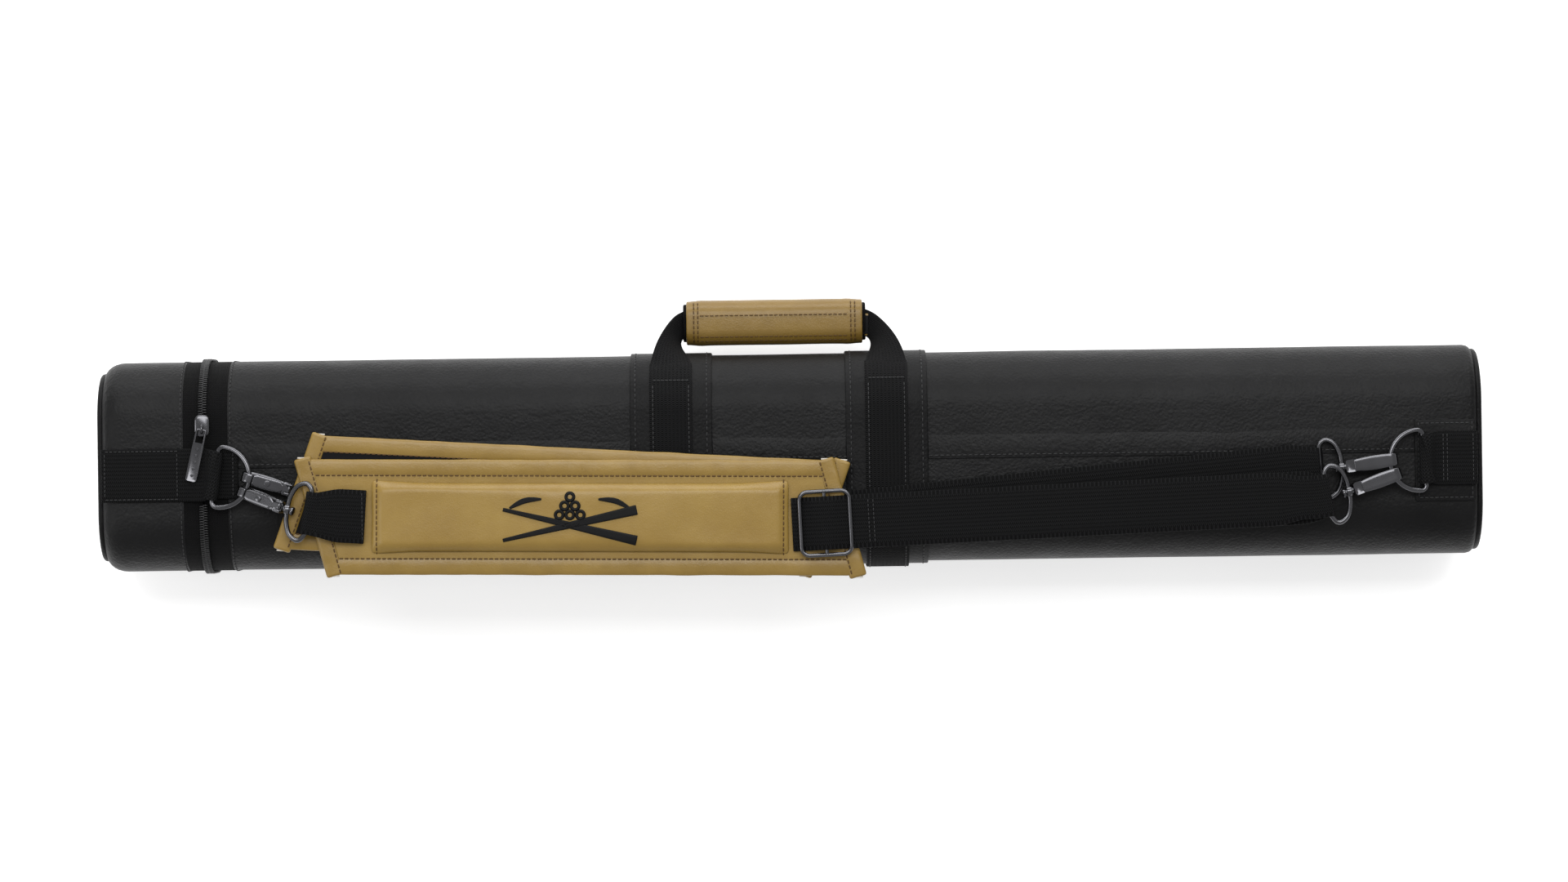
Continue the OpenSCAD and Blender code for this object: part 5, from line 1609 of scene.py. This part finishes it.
pouch = block("pocket_leather", (pouch_low.x, pouch_low.y, 0), (pouch_high.x, pouch_high.y, 8 * MM))
pick(pouch, runs_along(2), "EDGE")
bpy.ops.mesh.bevel(offset=18 * MM, segments=10, affect="EDGES")
leave()
pick(pouch, lambda f: f.normal.z < -0.9)
bpy.ops.mesh.inset(thickness=1.6 * MM)
leave()
pick(pouch, lambda f: f.normal.z > 0.9)
bpy.ops.mesh.inset(thickness=4 * MM)
leave()
for x in [pouch_low.x + 6 * MM + i * 12 * MM for i in range(39)]:
    pick(pouch, lambda f: True)
    bpy.ops.mesh.bisect(plane_co=(x, 0, 0), plane_no=(1, 0, 0))
    leave()
for y in (-36, -24, -12, 0, 12, 24, 36):
    pick(pouch, lambda f: True)
    bpy.ops.mesh.bisect(plane_co=(0, y * MM, 0), plane_no=(0, 1, 0))
    leave()
centre_x = (pouch_low.x + pouch_high.x) / 2
for vertex in pouch.data.vertices:
    x, y, z = vertex.co
    if z > 4 * MM:
        vertex.co.z = belly(x, y)
    else:
        rim = min(pouch_high.y - abs(y), (pouch_high.x - pouch_low.x) / 2 - abs(x - centre_x))
        vertex.co.z = 1.5 * MM * (1 - ease(rim / (10 * MM))) if rim < 10 * MM else 0
        vertex.co.z += 0.15 * MM * abs(noise.noise(Vector((x / 0.05, y / 0.03, 2))))
modify(pouch, "BEVEL", width=1.2 * MM, segments=3, limit_method="ANGLE", angle_limit=math.radians(55))
finish_piece(pouch, "case", "black_leather", BLACK_LEATHER, "pocket_pouch")

# %% Pocket zip, slider and pull
zip_low, zip_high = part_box("pocket_zip")
pocket_tape = block("pocket_zip_tape", zip_low, Vector((zip_high.x, zip_low.y + 0.7 * MM, zip_high.z)))
pick(pocket_tape, runs_along(0), "EDGE")
bpy.ops.mesh.subdivide(number_cuts=60)
leave()
layer = pocket_tape.data.uv_layers[0] if pocket_tape.data.uv_layers else pocket_tape.data.uv_layers.new(name="UVMap")
for face in pocket_tape.data.polygons:
    for i in face.loop_indices:
        co = pocket_tape.data.vertices[pocket_tape.data.loops[i].vertex_index].co
        layer.data[i].uv = (co.x, co.z + co.y)
modify(pocket_tape, "BEVEL", width=0.2 * MM, segments=1, limit_method="ANGLE", angle_limit=math.radians(60))
finish_piece(pocket_tape, "case", "black_webbing", TAPE, "pocket_zip")
tooth = block("tooth_seed", (-1.3 * MM, -0.45 * MM, -0.4 * MM), (1.3 * MM, 0.45 * MM, 0.5 * MM))
modify(tooth, "BEVEL", width=0.25 * MM, segments=1)
mid_zip = (zip_low.z + zip_high.z) / 2
places = []
for i in range(int((zip_high.x - zip_low.x - 4 * MM) / TOOTH_PITCH)):
    x = zip_low.x + 2 * MM + i * TOOTH_PITCH
    shift = 0.55 * MM if i % 2 else -0.55 * MM
    places.append(frame_at((x, zip_low.y + 1.0 * MM, mid_zip + shift), (0, 0, 1), (0, 1, 0)))
pocket_teeth = copies("pocket_zip_teeth", tooth, places)
drop(tooth)
finish_piece(pocket_teeth, "case", "zip_plastic", NYLON, angle=60)

ps_low, ps_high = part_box("pocket_slider")
plate_x = ps_high.x - 5 * MM
plate = block("plate", (plate_x - 5 * MM, ps_low.y, ps_low.z), (plate_x + 5 * MM, ps_low.y + 1.7 * MM, ps_high.z))
pick(plate, runs_along(1), "EDGE")
bpy.ops.mesh.bevel(offset=2.4 * MM, segments=3, affect="EDGES")
leave()
modify(plate, "BEVEL", width=0.35 * MM, segments=2, limit_method="ANGLE", angle_limit=math.radians(40))
tab_p = block("tab", (ps_low.x, ps_high.y - 1.1 * MM, mid_zip - 2.2 * MM), (ps_low.x + 14 * MM, ps_high.y, mid_zip + 2.2 * MM))
pick(tab_p, runs_along(1), "EDGE")
bpy.ops.mesh.bevel(offset=1.3 * MM, segments=3, affect="EDGES")
leave()
pick(tab_p, lambda f: f.normal.y > 0.9)
bpy.ops.mesh.inset(thickness=0.8 * MM)
bpy.ops.transform.translate(value=(0, -0.3 * MM, 0))
leave()
modify(tab_p, "BEVEL", width=0.2 * MM, segments=2, limit_method="ANGLE", angle_limit=math.radians(40))
post = block("post", (plate_x - 1.5 * MM, ps_low.y + 1.5 * MM, mid_zip - 1.2 * MM), (plate_x + 1.5 * MM, ps_high.y - 0.8 * MM, mid_zip + 1.2 * MM))
pocket_slide = joined("pocket_slider_metal", [plate, tab_p, post])
finish_piece(pocket_slide, "pocket_slider", "gunmetal", GUNMETAL, "pocket_slider")
print("pocket done")

# %% [markdown]
# ## Seam along the cover
# The cover is one sheet whose edges meet on top, and the upper edge laps over the lower one. A thin strip with a
# rounded edge and a row of stitches gives that line.

# %% Lapped seam
seam_parts = ((tape_high.x + 2 * MM, HANDLE_X - BAND_PITCH / 2 - STRIP_W / 2), (HANDLE_X - BAND_PITCH / 2 + STRIP_W / 2, HANDLE_X + BAND_PITCH / 2 - STRIP_W / 2),
              (HANDLE_X + BAND_PITCH / 2 + STRIP_W / 2, patch_low.x))
for k, (x0, x1) in enumerate(seam_parts):
    lap = block(f"cover_seam_{k}", (x0, -1.5 * MM, TOP - 0.5 * MM), (x1, 13 * MM, TOP + 0.42 * MM))
    modify(lap, "BEVEL", width=0.35 * MM, segments=3, limit_method="ANGLE", angle_limit=math.radians(40))
    for vertex in lap.data.vertices:
        if vertex.co.y > 6 * MM:
            vertex.co.z -= 0.62 * MM
    finish_piece(lap, "case", "black_leather", BLACK_LEATHER)
    stitched(f"seam_stitches_{k}", line_points((x0, 0.6 * MM, TOP + 0.42 * MM), (x1, 0.6 * MM, TOP + 0.42 * MM), 4), UP, "case", BLACK_THREAD, "black_webbing", pitch=3.4 * MM)

# %% [markdown]
# ## Inside
# Tubes, half shells, foam and boards have the right shape in the CAD model already, so they only get finishes. They
# show when the lid is open.

# %% Finishes of the carried-over pieces
CARRIED = {
    "core_block": PLUSH, "end_pad": FOAM, "end_board": SHELL,
    "shell_upper": SHELL, "shell_lower": SHELL, "butt_tubes": TUBE, "shaft_tubes": TUBE,
}
for node, material in CARRIED.items():
    for carried in [o for o in bpy.data.objects if o.name == node or o.name.startswith(node + ".")]:
        for slot in carried.material_slots:
            slot.material = material
print("carried over", len(CARRIED))

# %% [markdown]
# ## Finish
# The last cell brings the scene up to date.

# %% Update
bpy.context.view_layer.update()
